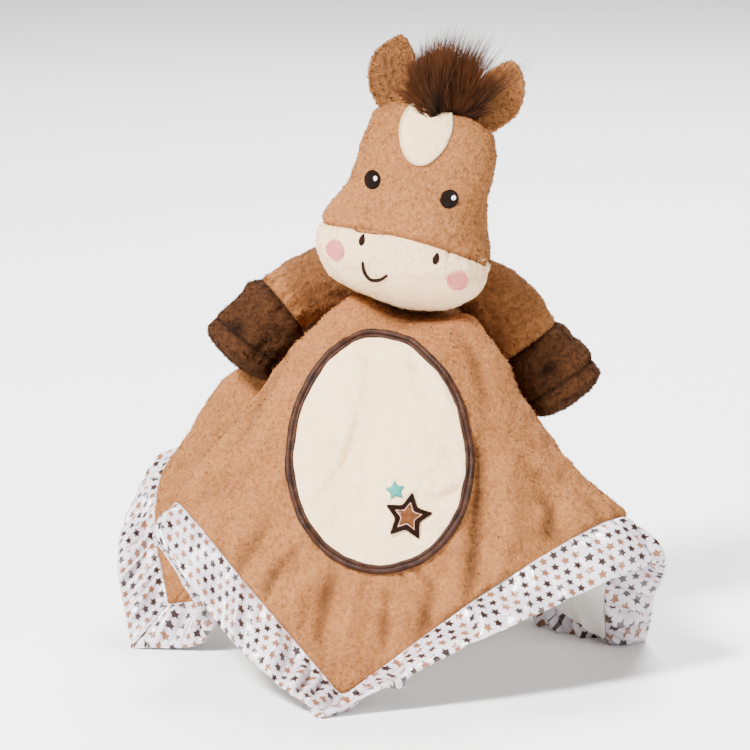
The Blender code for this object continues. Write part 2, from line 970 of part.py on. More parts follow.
# How wide and how thick the ear is up its height, from the pinched foot to the tip, and the
# mane likewise.
EAR_SHARES = (
    (0.0, 0.62, 0.25),
    (0.25, 0.88, 0.8),
    (0.55, 1.0, 1.0),
    (0.8, 0.93, 1.0),
    (1.0, 0.7, 1.0),
)
MANE_SHARES = ((0.0, 0.75, 1.0), (0.35, 0.9, 1.0), (0.7, 1.0, 1.0), (1.0, 0.85, 1.0))
ear_foot_share = 0.80
ear_cup_share = 0.35
mane_foot_share = 0.86


def pad_form(width, height, depth, shares, cup, frame, segments=16, rings=10):
    """Flat rounded pad that stands on its foot, wider or narrower up its height and hollowed
    at the front."""
    mesh = bmesh.new()
    bmesh.ops.create_uvsphere(mesh, u_segments=segments, v_segments=rings, radius=1)
    knots = [row[0] for row in shares]
    for vert in mesh.verts:
        up = (vert.co.z + 1) / 2
        wide, thick = (along([row[i] for row in shares], knots, up) for i in (1, 2))
        hollow = cup * depth * (1 - vert.co.x**2) * (1 - vert.co.z**2)
        vert.co = (
            vert.co.x * wide * width / 2,
            vert.co.y * thick * depth / 2 + hollow,
            up * height,
        )
    bmesh.ops.transform(mesh, matrix=frame, verts=mesh.verts)
    made = bpy.data.meshes.new("pad")
    mesh.to_mesh(made)
    mesh.free()
    return made


def ear_hinge(side):
    """Middle of the line that an ear folds on, at its foot."""
    place = Vector((side * ear_spacing / 2, 0, ear_foot_share * head_half.z))
    return head_frame @ place


def make_ears():
    made = []
    for side, name, lean in ((-1, "left", left_ear_lean), (1, "right", right_ear_lean)):
        hinge = ear_hinge(side)
        turn = head_frame.to_3x3().to_4x4() @ Matrix.Rotation(lean, 4, "Y")
        ear = add_object(
            f"ear_{name}",
            pad_form(
                ear_width,
                ear_height,
                ear_thickness,
                EAR_SHARES,
                ear_cup_share,
                Matrix.Translation(hinge) @ turn,
            ),
            tan_plush(),
        )
        clearance = ear_foot_thickness / 2 * math.sin(ear_swing) + cloth_gap
        boolean(ear, "DIFFERENCE", add_cutter(f"head_under_{name}_ear", head_form(clearance)))
        smooth(ear)
        made.append((ear, hinge))
    return made


def make_mane():
    foot = head_frame @ Vector((0, 0, mane_foot_share * head_half.z))
    turn = head_frame.to_3x3().to_4x4()
    mane = add_object(
        "mane_tuft",
        pad_form(
            mane_width,
            mane_height,
            mane_depth,
            MANE_SHARES,
            0,
            Matrix.Translation(foot) @ turn,
            20,
            12,
        ),
        dark_fur(),
    )
    crown = add_cutter("head_under_mane", head_form(2 * cloth_gap))
    boolean(mane, "DIFFERENCE", crown)
    over_blaze = add_cutter("over_blaze", head_form(face_piece_thickness + 2 * cloth_gap))
    near_blaze = prism(
        blaze_outline(blaze_stitch_width), face_frame, -blaze_stitch_width, head_depth
    )
    boolean(over_blaze, "INTERSECT", add_cutter("near_blaze", near_blaze))
    boolean(mane, "DIFFERENCE", over_blaze)
    smooth(mane)
    return mane


# Each arm's middle line in the plane that faces us, from the shoulder pivot by the seam of the
# hoof to the sole: sideways and backwards as shares of half the blanket's side, down as shares
# of the neck's height. The left arm is the one on the left of the picture.
ARM_LEFT_SHARES = (
    (0.0, 0.0, 0.0),
    (0.150, 0.024, 0.034),
    (0.292, -0.018, 0.108),
    (0.395, -0.042, 0.240),
)
ARM_RIGHT_SHARES = (
    (0.0, 0.0, 0.0),
    (0.125, 0.003, 0.092),
    (0.221, -0.002, 0.219),
    (0.312, -0.012, 0.364),
)
ARM_KNOT_SHARES = (0.0, 0.3, 0.65, 1.0)
# Swell of the arm by share of its length: half width and half depth between the sleeve's and
# the hoof's sizes.
ARM_SWELL_SHARES = ((0.0, 0.0), (0.3, 0.3), (0.55, 0.3), (0.68, 0.45), (0.9, 1.0), (1.0, 1.0))
arm_step_share = 0.02
arm_rise = 0.0186


def arm_pivot(side):
    """The arm's ball-shaped root rests against the neck knob, a little behind it."""
    away = neck_radius + arm_root_radius + cloth_gap
    behind = neck_forward + arm_back
    across = math.sqrt(away**2 - behind**2)
    return Vector((side * across, arm_back, neck_height + arm_rise))


def arm_middle(side, share):
    shares = ARM_LEFT_SHARES if side < 0 else ARM_RIGHT_SHARES
    points = [
        Vector((side * x * half_side, y * half_side, -z * neck_height)) for x, y, z in shares
    ]
    return arm_pivot(side) + along(points, ARM_KNOT_SHARES, share)


def arm_form(side, shrink, segments=20, rings=16):
    """One arm and hoof as a closed form: a ball at the shoulder, then a swelling limb that
    ends in a round sole."""
    mesh = bmesh.new()
    bmesh.ops.create_uvsphere(mesh, u_segments=segments, v_segments=rings, radius=1)
    length = (arm_middle(side, 1) - arm_middle(side, 0)).length
    root = arm_root_radius - shrink
    knots = [row[0] for row in ARM_SWELL_SHARES]
    total = root + length + sole_length - shrink
    for vert in mesh.verts:
        run = total * (1 + vert.co.z) / 2 - root
        share = max(0, min(1, run / length))
        swell = along([row[1] for row in ARM_SWELL_SHARES], knots, share)
        wide = sleeve_width / 2 + swell * (hoof_width - sleeve_width) / 2 - shrink
        deep = sleeve_depth / 2 + swell * (hoof_depth - sleeve_depth) / 2 - shrink
        start = min(1, share / ARM_SWELL_SHARES[1][0])
        wide = root + (wide - root) * start
        deep = root + (deep - root) * start
        closing = 1
        if run < 0:
            closing = math.sqrt(max(0, 1 - (run / root) ** 2))
        elif run > length:
            closing = math.sqrt(max(0, 1 - ((run - length) / (total - root - length)) ** 2))
        ahead, behind = min(1, share + arm_step_share), max(0, share - arm_step_share)
        way = (arm_middle(side, ahead) - arm_middle(side, behind)).normalized()
        across = Vector((0, 1, 0)).cross(way).normalized()
        outwards = way.cross(across)
        beyond = min(0, run) + max(0, run - length)
        middle = arm_middle(side, share) + way * beyond
        turn = math.atan2(vert.co.y, vert.co.x)
        vert.co = (
            middle
            + across * math.cos(turn) * wide * closing
            + outwards * math.sin(turn) * deep * closing
        )
    made = bpy.data.meshes.new("arm_form")
    mesh.to_mesh(made)
    mesh.free()
    return made


def hoof_region(side, raised):
    """Closed block that holds the hoof's side of its seam."""
    seam_share = ARM_KNOT_SHARES[-2]
    middle = arm_middle(side, seam_share)
    way = (arm_middle(side, seam_share + 5 * arm_step_share) - middle).normalized()
    across = Vector((0, 1, 0)).cross(way).normalized()
    frame = Matrix((across, way.cross(across), way)).transposed().to_4x4()
    reach = 2 * hoof_width
    square = [(-reach, -reach), (reach, -reach), (reach, reach), (-reach, reach)]
    return prism(square, Matrix.Translation(middle) @ frame, -raised, 2 * reach)


def make_arms():
    made = []
    for side, name in ((-1, "left"), (1, "right")):
        inner = add_cutter(f"arm_inside_{name}", arm_form(side, skin_thickness, 14, 12))
        hoof_side = add_cutter(f"hoof_side_{name}", hoof_region(side, -cloth_gap / 2))
        hoof_raised = add_cutter(f"hoof_side_raised_{name}", hoof_region(side, cloth_gap / 2))
        sleeve = add_object(f"arm_sleeve_{name}", arm_form(side, 0), tan_plush())
        boolean(sleeve, "DIFFERENCE", hoof_raised)
        hoof = add_object(f"hoof_{name}", arm_form(side, 0), brown_plush())
        boolean(hoof, "INTERSECT", hoof_side)
        for skin in (sleeve, hoof):
            boolean(skin, "DIFFERENCE", inner)
            smooth(skin)
        filling = add_object(
            f"arm_filling_{name}",
            arm_form(side, skin_thickness + 2 * cloth_gap, 14, 12),
            stuffing(),
        )
        smooth(filling)
        made.append(([sleeve, hoof, filling], arm_pivot(side)))
    return made


def empty(name, place, parent=None):
    pivot = bpy.data.objects.new(name, None)
    parts.objects.link(pivot)
    pivot.empty_display_size = border_width
    pivot.location = place - (parent["place"] if parent else Vector())
    if parent:
        pivot.parent = parent["object"]
    return {"object": pivot, "place": place.copy()}


def carry(obj, pivot):
    """Parents a piece to a pivot and leaves it where it is."""
    obj.parent = pivot["object"]
    obj.matrix_parent_inverse = Matrix.Translation(-pivot["place"])


def centre_over_origin(stand):
    """Moves the stand so that the lovey's box is centred over the origin and rests on it."""
    bpy.context.view_layer.update()
    graph = bpy.context.evaluated_depsgraph_get()
    corners = []
    for obj in parts.objects:
        if obj.type in ("MESH", "CURVE"):
            done = obj.evaluated_get(graph)
            corners += [done.matrix_world @ vert.co for vert in done.to_mesh().vertices]
            done.to_mesh_clear()
    low = [min(c[i] for c in corners) for i in range(3)]
    high = [max(c[i] for c in corners) for i in range(3)]
    stand["object"].location = (-(low[0] + high[0]) / 2, -(low[1] + high[1]) / 2, -low[2])


def main():
    clear_scene()
    stand = empty("lovey_stand", Vector((0, 0, 0)))
    head_pivot = empty("head_pivot", neck_pivot, stand)
    make_blanket()
    make_neck()
    head_pieces = make_head() + make_face() + [make_mane()]
    placed = {obj.name: head_pivot for obj in head_pieces}
    for ear, hinge in make_ears():
        placed[ear.name] = empty(f"{ear.name}_hinge", hinge, head_pivot)
    for pieces, pivot in make_arms():
        shoulder = empty(f"{pieces[0].name}_pivot", pivot, stand)
        placed.update({piece.name: shoulder for piece in pieces})
    for obj in list(parts.objects) + list(helpers.objects):
        if obj.type != "EMPTY":
            carry(obj, placed.get(obj.name, stand))
    centre_over_origin(stand)


main()
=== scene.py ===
import json
import math

import bmesh
import bpy
import numpy as np
from mathutils import Matrix, Vector
from mathutils.bvhtree import BVHTree
from mathutils.kdtree import KDTree

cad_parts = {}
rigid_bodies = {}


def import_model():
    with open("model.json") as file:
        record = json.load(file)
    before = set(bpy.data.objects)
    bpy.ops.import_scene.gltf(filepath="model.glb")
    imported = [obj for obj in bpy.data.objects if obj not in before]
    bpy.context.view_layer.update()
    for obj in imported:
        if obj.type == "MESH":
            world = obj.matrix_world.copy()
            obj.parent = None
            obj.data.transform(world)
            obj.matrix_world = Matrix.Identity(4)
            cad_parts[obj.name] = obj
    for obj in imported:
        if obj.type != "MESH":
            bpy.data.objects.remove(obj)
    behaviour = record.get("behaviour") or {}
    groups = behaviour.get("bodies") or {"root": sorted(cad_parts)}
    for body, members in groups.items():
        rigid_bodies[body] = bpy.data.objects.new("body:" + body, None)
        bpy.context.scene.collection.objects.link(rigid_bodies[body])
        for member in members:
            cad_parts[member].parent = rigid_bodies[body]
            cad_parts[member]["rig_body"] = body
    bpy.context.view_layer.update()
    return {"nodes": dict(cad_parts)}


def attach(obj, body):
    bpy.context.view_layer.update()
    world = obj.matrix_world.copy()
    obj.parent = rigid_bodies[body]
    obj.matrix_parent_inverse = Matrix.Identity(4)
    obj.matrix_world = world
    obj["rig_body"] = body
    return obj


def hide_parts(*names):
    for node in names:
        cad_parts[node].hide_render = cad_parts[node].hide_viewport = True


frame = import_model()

# The lovey's own sizes, in metres, as in its CAD source. Its middle line stands a little off
# the origin, at stand_shift.
stand_shift = np.array((0.01792, -0.00894, 0.0))
blanket_side = 0.432
half_side = blanket_side / 2
border_width = 0.028
neck_height = 0.196
neck_forward = 0.0179
neck_radius = 0.0143
neck_tilt = math.radians(12)
hole_radius = neck_radius + 0.0014
rest_height = 0.0007
patch_width = 0.0945
patch_height = 0.125
patch_middle = (-0.106 * half_side, 0.551 * neck_height)
patch_tilt = math.radians(1.5)
patch_narrowing = 0.08
plush_thickness = 0.0026
star_radius = 0.0134
star_turn = math.radians(-10)
small_star_radius = 0.0058
small_star_turn = math.radians(8)
head_width = 0.099
head_height = 0.1148
head_depth = 0.064
head_side = -0.0029
head_forward = 0.0375
head_middle_height = 0.2572
head_roll = math.radians(12.5)
head_yaw = math.radians(-8.5)
head_squareness = 0.9
upper_face_shift = -0.0018
eye_spacing = 0.0437
eye_width, eye_height = 0.0098, 0.0104
iris_width, iris_height = 0.0062, 0.0068
glint_width, glint_height = 0.0024, 0.0027
nostril_spacing = 0.042
nostril_width, nostril_height = 0.0036, 0.0066
cheek_spacing = 0.0695
cheek_radius = 0.0056
mouth_stitch_width = 0.00216
blaze_width, blaze_height = 0.027, 0.0345
blaze_stitch_width = 0.0018
ear_spacing = 0.0578
ear_width = 0.0252
ear_height = 0.044
ear_thickness = 0.0075
left_ear_lean = math.radians(1)
right_ear_lean = math.radians(8)
arm_root_radius = 0.0123
arm_back = 0.0045
arm_gap = 0.0003
sleeve_width = 0.032
sleeve_depth = 0.027
hoof_width = 0.047
hoof_depth = 0.034
sole_length = 0.0085

# How far up the head the things on it sit, in shares of half its height, and where the two stars
# sit, in shares of the patch's width and height from its middle
eye_up, nostril_up, cheek_up, blaze_up, ear_up = 0.19, -0.372, -0.55, 0.74, 0.80
star_shares, small_star_shares = (0.165, -0.284), (0.093, -0.171)

# Radii by which a turn becomes a way along the seam of the patch, head and arms, the distance
# under which two points count as one, how deep a fold may sink over the arm's filling, how long
# the blanket's slope is from neck to seam, and over which share of a side a crease is softened
patch_ring, head_ring, arm_ring = 0.055, 0.045, 0.019
doubled = 0.00002
arm_sink = 0.0017
slope_length = 0.16
drape_softness = 0.011

# The photo's camera: width of the photo and middle of the view from the lovey's, in pixels, size
# of a pixel at the lovey, and how far it looks down
photo_width = 750
view_offset = (-45, -40, 281)
pixel = 0.00056
view_tilt = math.radians(12)
camera_lens, camera_sensor = 200.0, 36.0

# The drape, as in the CAD source: sixteen places round the blanket, four to a side from its
# front corner. The panel's seam and the border's edge are given by their place, in shares of half
# the side and of the neck's height, the shoulder and belly rows by their reach and height.
SIDE_KNOTS = (0.0, 0.293, 0.5, 0.707, 1.0)
SEAM_SHARES = (
    (-0.199, -0.635, 0.016), (0.209, -0.557, 0.327), (0.508, -0.389, 0.457),
    (0.482, -0.220, 0.214), (0.492, -0.091, 0.014), (0.311, 0.117, 0.143), (0.363, 0.427, 0.429),
    (0.259, 0.549, 0.271), (0.194, 0.699, 0.011), (-0.246, 0.531, 0.314), (-0.583, 0.402, 0.486),
    (-0.698, 0.130, 0.367), (-0.661, -0.065, 0.108), (-0.526, -0.155, 0.189),
    (-0.624, -0.285, 0.473), (-0.444, -0.492, 0.300),
)
EDGE_SHARES = (
    (-0.252, -0.772, 0.000), (0.244, -0.648, 0.232), (0.599, -0.427, 0.336),
    (0.609, -0.207, 0.166), (0.601, -0.052, 0.000), (0.324, 0.124, 0.000), (0.420, 0.518, 0.320),
    (0.303, 0.640, 0.157), (0.246, 0.855, 0.000), (-0.272, 0.622, 0.206), (-0.661, 0.466, 0.400),
    (-0.794, 0.078, 0.263), (-0.756, -0.130, -0.006), (-0.554, -0.187, 0.057),
    (-0.680, -0.363, 0.398), (-0.475, -0.583, 0.158),
)
SHOULDER_SHARES = (
    (0.255, 0.906), (0.224, 0.943), (0.204, 0.966), (0.135, 0.909), (0.105, 0.866),
    (0.109, 0.866), (0.183, 0.900), (0.222, 0.929), (0.261, 0.943), (0.242, 0.943),
    (0.238, 0.966), (0.237, 0.951), (0.124, 0.920), (0.121, 0.920), (0.215, 1.023),
    (0.235, 0.957),
)
BELLY_SHARES = (
    (0.411, 0.537), (0.404, 0.643), (0.374, 0.680), (0.297, 0.566), (0.237, 0.514),
    (0.215, 0.557), (0.409, 0.700), (0.438, 0.586), (0.556, 0.471), (0.438, 0.600),
    (0.495, 0.749), (0.533, 0.714), (0.324, 0.543), (0.285, 0.514), (0.452, 0.749),
    (0.427, 0.671),
)
# Rows of the neck, shoulder, belly, seam and edge, and how far each of the slope's two rows
# turns from the flat cloth's own way toward its seam's
hem_row = 0.15
ROW_KNOTS = (0.0, 0.2, 0.6, 1.0, 1 + hem_row)
shoulder_turned_share = 0.5
belly_turned_share = 0.85
front_corner_turn = math.radians(-15)


def rng(seed):
    return np.random.default_rng(seed)


def unit(v):
    """Vectors brought to a length of 1."""
    return v / np.maximum(np.linalg.norm(v, axis=-1, keepdims=True), 1e-12)


def along(values, knots, where):
    """Smooth curve through the values at the places where."""
    v, t = np.asarray(values, float), np.asarray(knots, float)
    w = np.atleast_1d(np.asarray(where, float))
    k = np.clip(np.searchsorted(t, w, side="right") - 1, 0, len(t) - 2)
    i = np.arange(len(t))
    before, after = np.maximum(i - 1, 0), np.minimum(i + 1, len(t) - 1)
    wide = (-1,) + (1,) * (v.ndim - 1)
    slope = (v[after] - v[before]) / (t[after] - t[before]).reshape(wide)
    span = (t[k + 1] - t[k]).reshape(wide)
    s = ((w - t[k]) / (t[k + 1] - t[k])).reshape(wide)
    return (
        v[k] * (1 + 2 * s) * (1 - s) ** 2
        + slope[k] * span * s * (1 - s) ** 2
        + v[k + 1] * s * s * (3 - 2 * s)
        + slope[k + 1] * span * s * s * (s - 1)
    )


def ripple(points, wavelength, seed, waves=14):
    """Smooth random swell of about +-1 over points, with bumps of about that wavelength."""
    made = rng(seed)
    ways = unit(made.normal(size=(waves, points.shape[-1])))
    lengths = wavelength * made.uniform(0.7, 1.5, waves)
    phases = made.uniform(0, 2 * math.pi, waves)
    total = np.zeros(points.shape[:-1])
    for way, length, phase in zip(ways, lengths, phases):
        total += np.sin(points @ way * (2 * math.pi / length) + phase)
    return total / math.sqrt(waves / 2)


def softened(values, sigma):
    """Values averaged round their second axis, as a soft cloth does with a crease."""
    reach = int(3 * sigma) + 1
    total, weight = np.zeros_like(values), 0.0
    for step in range(-reach, reach + 1):
        w = math.exp(-0.5 * (step / sigma) ** 2)
        total, weight = total + w * np.roll(values, step, axis=1), weight + w
    return total / weight


def grid_normals(points):
    """Upward normals of points in rows that each close in a ring."""
    across = np.roll(points, -1, axis=1) - np.roll(points, 1, axis=1)
    return unit(np.cross(np.gradient(points, axis=0), across))


def compass(turn):
    """Level ways by their turn from the front, to the right."""
    return np.stack((np.sin(turn), -np.cos(turn), np.zeros_like(turn)), axis=-1)


def cloth(columns, rows):
    """Points of the draped blanket and their places on the flat cloth, for each side's columns
    and for rows from the neck to the outer edge."""
    rings, flats = [], []
    foot = np.array((0, -neck_forward, 0))
    for side in range(4):
        share = np.arange(columns) / columns
        turn = front_corner_turn + math.radians(90 * side + 45) + np.arctan(2 * share - 1)
        flat_way = compass(turn)
        neck = foot + flat_way * hole_radius
        neck[:, 2] = neck_height + math.tan(neck_tilt) * flat_way[:, 1] * hole_radius

        def ring(shares):
            """Places on a row that is given by places."""
            picked = [shares[(4 * side + i) % 16] for i in range(5)]
            scale = (half_side, half_side, neck_height)
            return along(np.array(picked) * scale + (0, 0, rest_height), SIDE_KNOTS, share)

        seam, edge = ring(SEAM_SHARES), ring(EDGE_SHARES)
        seam_way = unit((seam - foot) * (1, 1, 0))

        def slope(shares, turned):
            """Places on a row that is given by reach and height."""
            picked = [shares[(4 * side + i) % 16] for i in range(5)]
            reach, height = along(picked, SIDE_KNOTS, share).T
            way = unit(flat_way * (1 - turned) + seam_way * turned)
            lift = np.stack((0 * reach, 0 * reach, height * neck_height), axis=-1)
            return foot + way * reach[:, None] * half_side + lift

        shoulder = slope(SHOULDER_SHARES, shoulder_turned_share)
        belly = slope(BELLY_SHARES, belly_turned_share)
        rings.append(np.stack((neck, shoulder, belly, seam, edge)))
        start, stop = (math.radians(90 * (side + i)) for i in (0, 1))
        corners = [half_side * math.sqrt(2) * compass(np.array(a))[:2] for a in (start, stop)]
        flats.append(corners[0] + share[:, None] * (corners[1] - corners[0]))
    points = along(np.concatenate(rings, axis=1), ROW_KNOTS, rows) + stand_shift
    flat = np.array(rows)[:, None, None] / ROW_KNOTS[-1] * np.concatenate(flats)
    return points, flat


def grid_faces(rows, columns, ring=False, turned=False, first=0):
    """Four-sided faces between rows of points, closed in rings or not."""
    r = np.arange(rows - 1)[:, None]
    c = np.arange(columns if ring else columns - 1)[None, :]
    d = (c + 1) % columns
    quads = np.stack((r * columns + c, (r + 1) * columns + c, (r + 1) * columns + d,
                      r * columns + d), axis=-1).reshape(-1, 4)
    if turned:
        quads = quads[:, ::-1]
    return quads + first


def mark(mesh, label, values):
    """Gives each point of a mesh a value that finishes read by its label."""
    made = mesh.attributes.new(label, "FLOAT", "POINT")
    made.data.foreach_set("value", np.asarray(values, np.float32).ravel())


def mesh_points(mesh):
    """Places of a mesh's points."""
    points = np.empty(len(mesh.vertices) * 3)
    mesh.vertices.foreach_get("co", points)
    return points.reshape(-1, 3)


def run_along(path):
    """Distance along a path at each of its points."""
    return np.linalg.norm(np.diff(path, axis=0, prepend=path[:1]), axis=1).cumsum()


def make_piece(name, points, faces, finish, body, stands_for=(), uv=None, shade=None,
               hollow=None):
    """A finished piece from its points and faces, riding on a body of the frame."""
    mesh = bpy.data.meshes.new(name)
    mesh.from_pydata(np.asarray(points).reshape(-1, 3).tolist(), [], [list(f) for f in faces])
    if uv is not None:
        layer = mesh.uv_layers.new(name="cloth")
        corner = np.empty(len(mesh.loops), int)
        mesh.loops.foreach_get("vertex_index", corner)
        layer.data.foreach_set("uv", np.asarray(uv, np.float32).reshape(-1, 2)[corner].ravel())
    # hollow holds a plush piece's painted shade (below zero, painted highlight); shade holds each
    # fibre's tone
    for label, values in (("shade", shade), ("hollow", hollow)):
        if values is not None:
            mark(mesh, label, values)
    mesh.materials.append(finish)
    mesh.shade_smooth()
    mesh.validate()
    piece = bpy.data.objects.new(name, mesh)
    bpy.context.scene.collection.objects.link(piece)
    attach(piece, body)
    if stands_for:
        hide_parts(*stands_for)
    return piece


def tree_of(*pieces):
    """Tree of the faces of some pieces, to lay others on them."""
    points, faces = [], []
    for piece in pieces:
        first = len(points)
        points += [v.co.copy() for v in piece.data.vertices]
        faces += [[first + i for i in p.vertices] for p in piece.data.polygons]
    return BVHTree.FromPolygons(points, faces)


# Node helpers
class Finish:
    """One procedural material and the few node moves that all of them share."""

    def __init__(self, name, roughness, **sockets):
        self.material = bpy.data.materials.new(name)
        self.material.use_nodes = True
        self.tree = self.material.node_tree
        self.shader = self.tree.nodes["Principled BSDF"]
        self.shader.inputs["Roughness"].default_value = roughness
        for socket, value in sockets.items():
            self.shader.inputs[socket.replace("_", " ")].default_value = value

    def add(self, kind, settings=(), **inputs):
        node = self.tree.nodes.new(kind)
        for key, value in dict(settings).items():
            setattr(node, key, value)
        for key, value in inputs.items():
            self.put(value, node.inputs[key.replace("_", " ")])
        return node

    def put(self, value, socket):
        if isinstance(value, bpy.types.NodeSocket):
            self.tree.links.new(value, socket)
        else:
            socket.default_value = value

    def sum(self, operation, a, b=0.0):
        node = self.tree.nodes.new("ShaderNodeMath")
        node.operation = operation
        for value, socket in zip((a, b), node.inputs):
            self.put(value, socket)
        return node.outputs[0]

    def plus(self, a, b):
        return self.sum("ADD", a, b)

    def minus(self, a, b):
        return self.sum("SUBTRACT", a, b)

    def times(self, a, b):
        return self.sum("MULTIPLY", a, b)

    def own(self, name):
        """The value that mark gave the piece's points."""
        return self.add("ShaderNodeAttribute", {"attribute_name": name}).outputs["Fac"]

    def bands(self, where, scale, distortion, detail, direction="X"):
        """Ribs or threads that lie side by side."""
        return self.add("ShaderNodeTexWave",
                        {"wave_type": "BANDS", "bands_direction": direction}, Vector=where,
                        Scale=scale, Distortion=distortion, Detail=detail).outputs["Fac"]

    def place(self, source="Object"):
        """Coordinates in space or, as UV, on the flat cloth."""
        return self.tree.nodes.new("ShaderNodeTexCoord").outputs[source]

    def noise(self, where, size, detail=3.0, roughness=0.55):
        node = self.add("ShaderNodeTexNoise", Vector=where, Scale=1 / size, Detail=detail,
                        Roughness=roughness)
        return node.outputs["Fac"]

    def mix(self, share, low, high):
        node = self.tree.nodes.new("ShaderNodeMix")
        node.data_type = "RGBA"
        self.put(share, node.inputs["Factor"])
        self.put(low, node.inputs[6])
        self.put(high, node.inputs[7])
        return node.outputs[2]

    def ramp(self, value, low, high):
        node = self.tree.nodes.new("ShaderNodeMapRange")
        self.put(value, node.inputs["Value"])
        node.inputs["From Min"].default_value = low
        node.inputs["From Max"].default_value = high
        return node.outputs["Result"]

    def bump(self, height, depth, strength=1.0):
        node = self.add("ShaderNodeBump", Height=height, Distance=depth, Strength=strength)
        self.tree.links.new(node.outputs["Normal"], self.shader.inputs["Normal"])

    def colour(self, value):
        self.put(value, self.shader.inputs["Base Color"])


def rgb(r, g, b):
    """Scene colour for an sRGB value out of 255."""
    def line(c):
        c /= 255
        return c / 12.92 if c <= 0.04045 else ((c + 0.055) / 1.055) ** 2.4
    return (line(r), line(g), line(b), 1)


def plush_finish(name, shade, light, deep, size=0.0011, sheen=0.2, depth=0.0006):
    """Short pile, paler or darker in random patches as it lies, and darkened toward the deep
    colour by the painted shade that the hollow attribute holds.
    """
    f = Finish(name, 0.95, Sheen_Weight=sheen, Sheen_Roughness=0.45, Specular_IOR_Level=0.1)
    f.shader.inputs["Sheen Tint"].default_value = light
    where = f.place()
    hollow = f.own("hollow")
    lay = f.ramp(f.noise(where, 0.022, 1.5, 0.5), 0.3, 0.7)
    tuft = f.ramp(f.noise(where, 0.0022, 3.0, 0.6), 0.3, 0.72)
    both = f.plus(f.times(lay, 0.2), f.times(tuft, 0.8))
    # Painted shade: the hollow attribute pushes the tone toward shade, then mixes in the deep
    # colour
    both = f.minus(both, f.times(hollow, 0.5))
    colour = f.mix(both, shade, light)
    f.colour(f.mix(hollow, colour, deep))
    fine = f.noise(where, size, 2.0, 0.6)
    f.bump(f.plus(f.times(tuft, 0.6), fine), depth)
    return f.material


def pile_finish(name, shade, light, deep, sheen=0.15):
    """The fibres' own ends, each blade a little lighter or darker than the next, and darkened
    toward the deep colour by painted shade.
    """
    f = Finish(name, 1.0, Sheen_Weight=sheen, Sheen_Roughness=0.5, Specular_IOR_Level=0.0)
    f.shader.inputs["Sheen Tint"].default_value = light
    each = f.own("shade")
    lay = f.ramp(f.noise(f.place(), 0.022, 1.5, 0.5), 0.3, 0.7)
    both = f.plus(f.times(lay, 0.1), f.times(each, 0.9))
    # Painted shade: blades whose shade is below zero mix toward the deep colour
    f.colour(f.mix(f.times(each, -1.6), f.mix(both, shade, light), deep))
    return f.material


def star_print(f, where, pitch, radius):
    """Share of print at each place, and which of two colours it has: five-pointed stars in
    staggered rows on the cloth's own flat coordinates."""
    split = f.add("ShaderNodeSeparateXYZ", Vector=where)
    row_share = 0.86
    u, v = (f.sum("DIVIDE", split.outputs[i], pitch) for i in (0, 1))
    v = f.sum("DIVIDE", v, row_share)
    row = f.sum("FLOOR", v)
    odd = f.times(f.sum("FLOORED_MODULO", row, 2.0), 0.5)
    slid = f.plus(u, odd)
    column = f.sum("FLOOR", slid)
    cell = f.add("ShaderNodeCombineXYZ", X=column, Y=row).outputs[0]
    chance = f.add("ShaderNodeTexWhiteNoise", {"noise_dimensions": "2D"}, Vector=cell)
    x = f.minus(f.minus(slid, column), 0.5)
    y = f.minus(f.minus(v, row), 0.5)
    y = f.times(y, row_share)
    colours = f.add("ShaderNodeSeparateColor", Color=chance.outputs["Color"])
    tip = f.times(colours.outputs[1], 6.283)
    angle = f.plus(f.sum("ARCTAN2", y, x), tip)
    fifth = 2 * math.pi / 5
    folded = f.minus(f.sum("FLOORED_MODULO", angle, fifth), fifth / 2)
    folded = f.minus(fifth / 2, f.sum("ABSOLUTE", folded))
    reach = f.sum("SQRT", f.plus(f.times(x, x), f.times(y, y)))
    big = radius / pitch
    waist = 0.52 * big
    nx, ny = waist * math.sin(fifth / 2), big - waist * math.cos(fifth / 2)
    size = math.hypot(nx, ny)
    nx, ny = nx / size, ny / size
    edge = f.plus(f.times(f.times(reach, f.sum("COSINE", folded)), nx),
                  f.times(f.times(reach, f.sum("SINE", folded)), ny))
    inside = f.ramp(f.minus(nx * big, edge), -0.012, 0.03)
    return inside, f.sum("GREATER_THAN", colours.outputs[0], 0.56)


def satin_finish():
    """Glossy printed satin."""
    f = Finish("star_satin", 0.3, Specular_IOR_Level=0.55, Anisotropic=0.4,
               Coat_Weight=0.3, Coat_Roughness=0.16)
    where = f.place("UV")
    inside, tan = star_print(f, where, pitch=0.0068, radius=0.00285)
    ink = f.mix(tan, rgb(40, 20, 14), rgb(128, 82, 54))
    cloth_white = f.mix(f.ramp(f.noise(where, 0.03), 0.3, 0.7), rgb(186, 174, 184),
                        rgb(220, 211, 216))
    f.colour(f.mix(inside, cloth_white, ink))
    weave = f.bands(where, 900.0, 1.5, 2.0, "Y")
    ripples = f.noise(where, 0.004, 3.0, 0.5)
    f.bump(f.plus(f.times(weave, 0.06), ripples), 0.0004, 0.6)
    return f.material


def lining_finish():
    """Thin white knit with fine ribs."""
    f = Finish("lining_tricot", 0.7, Sheen_Weight=0.2)
    where = f.place("UV")
    knit = f.bands(where, 450.0, 1.0, 1.0)
    tone = f.ramp(f.noise(where, 0.02), 0.3, 0.7)
    f.colour(f.mix(tone, rgb(226, 219, 209), rgb(240, 235, 227)))
    f.bump(knit, 0.0002, 0.5)
    return f.material


def thread_finish(name, shade, light, pitch=0.00042):
    """Satin stitches that lie side by side along the piece's own U direction."""
    f = Finish(name, 0.55, Specular_IOR_Level=0.06, Anisotropic=0.4)
    each = f.bands(f.place("UV"), 0.31 / pitch, 0.8, 1.5)
    f.colour(f.mix(f.ramp(each, 0.1, 0.8), shade, light))
    f.bump(each, 0.00025, 0.9)
    return f.material


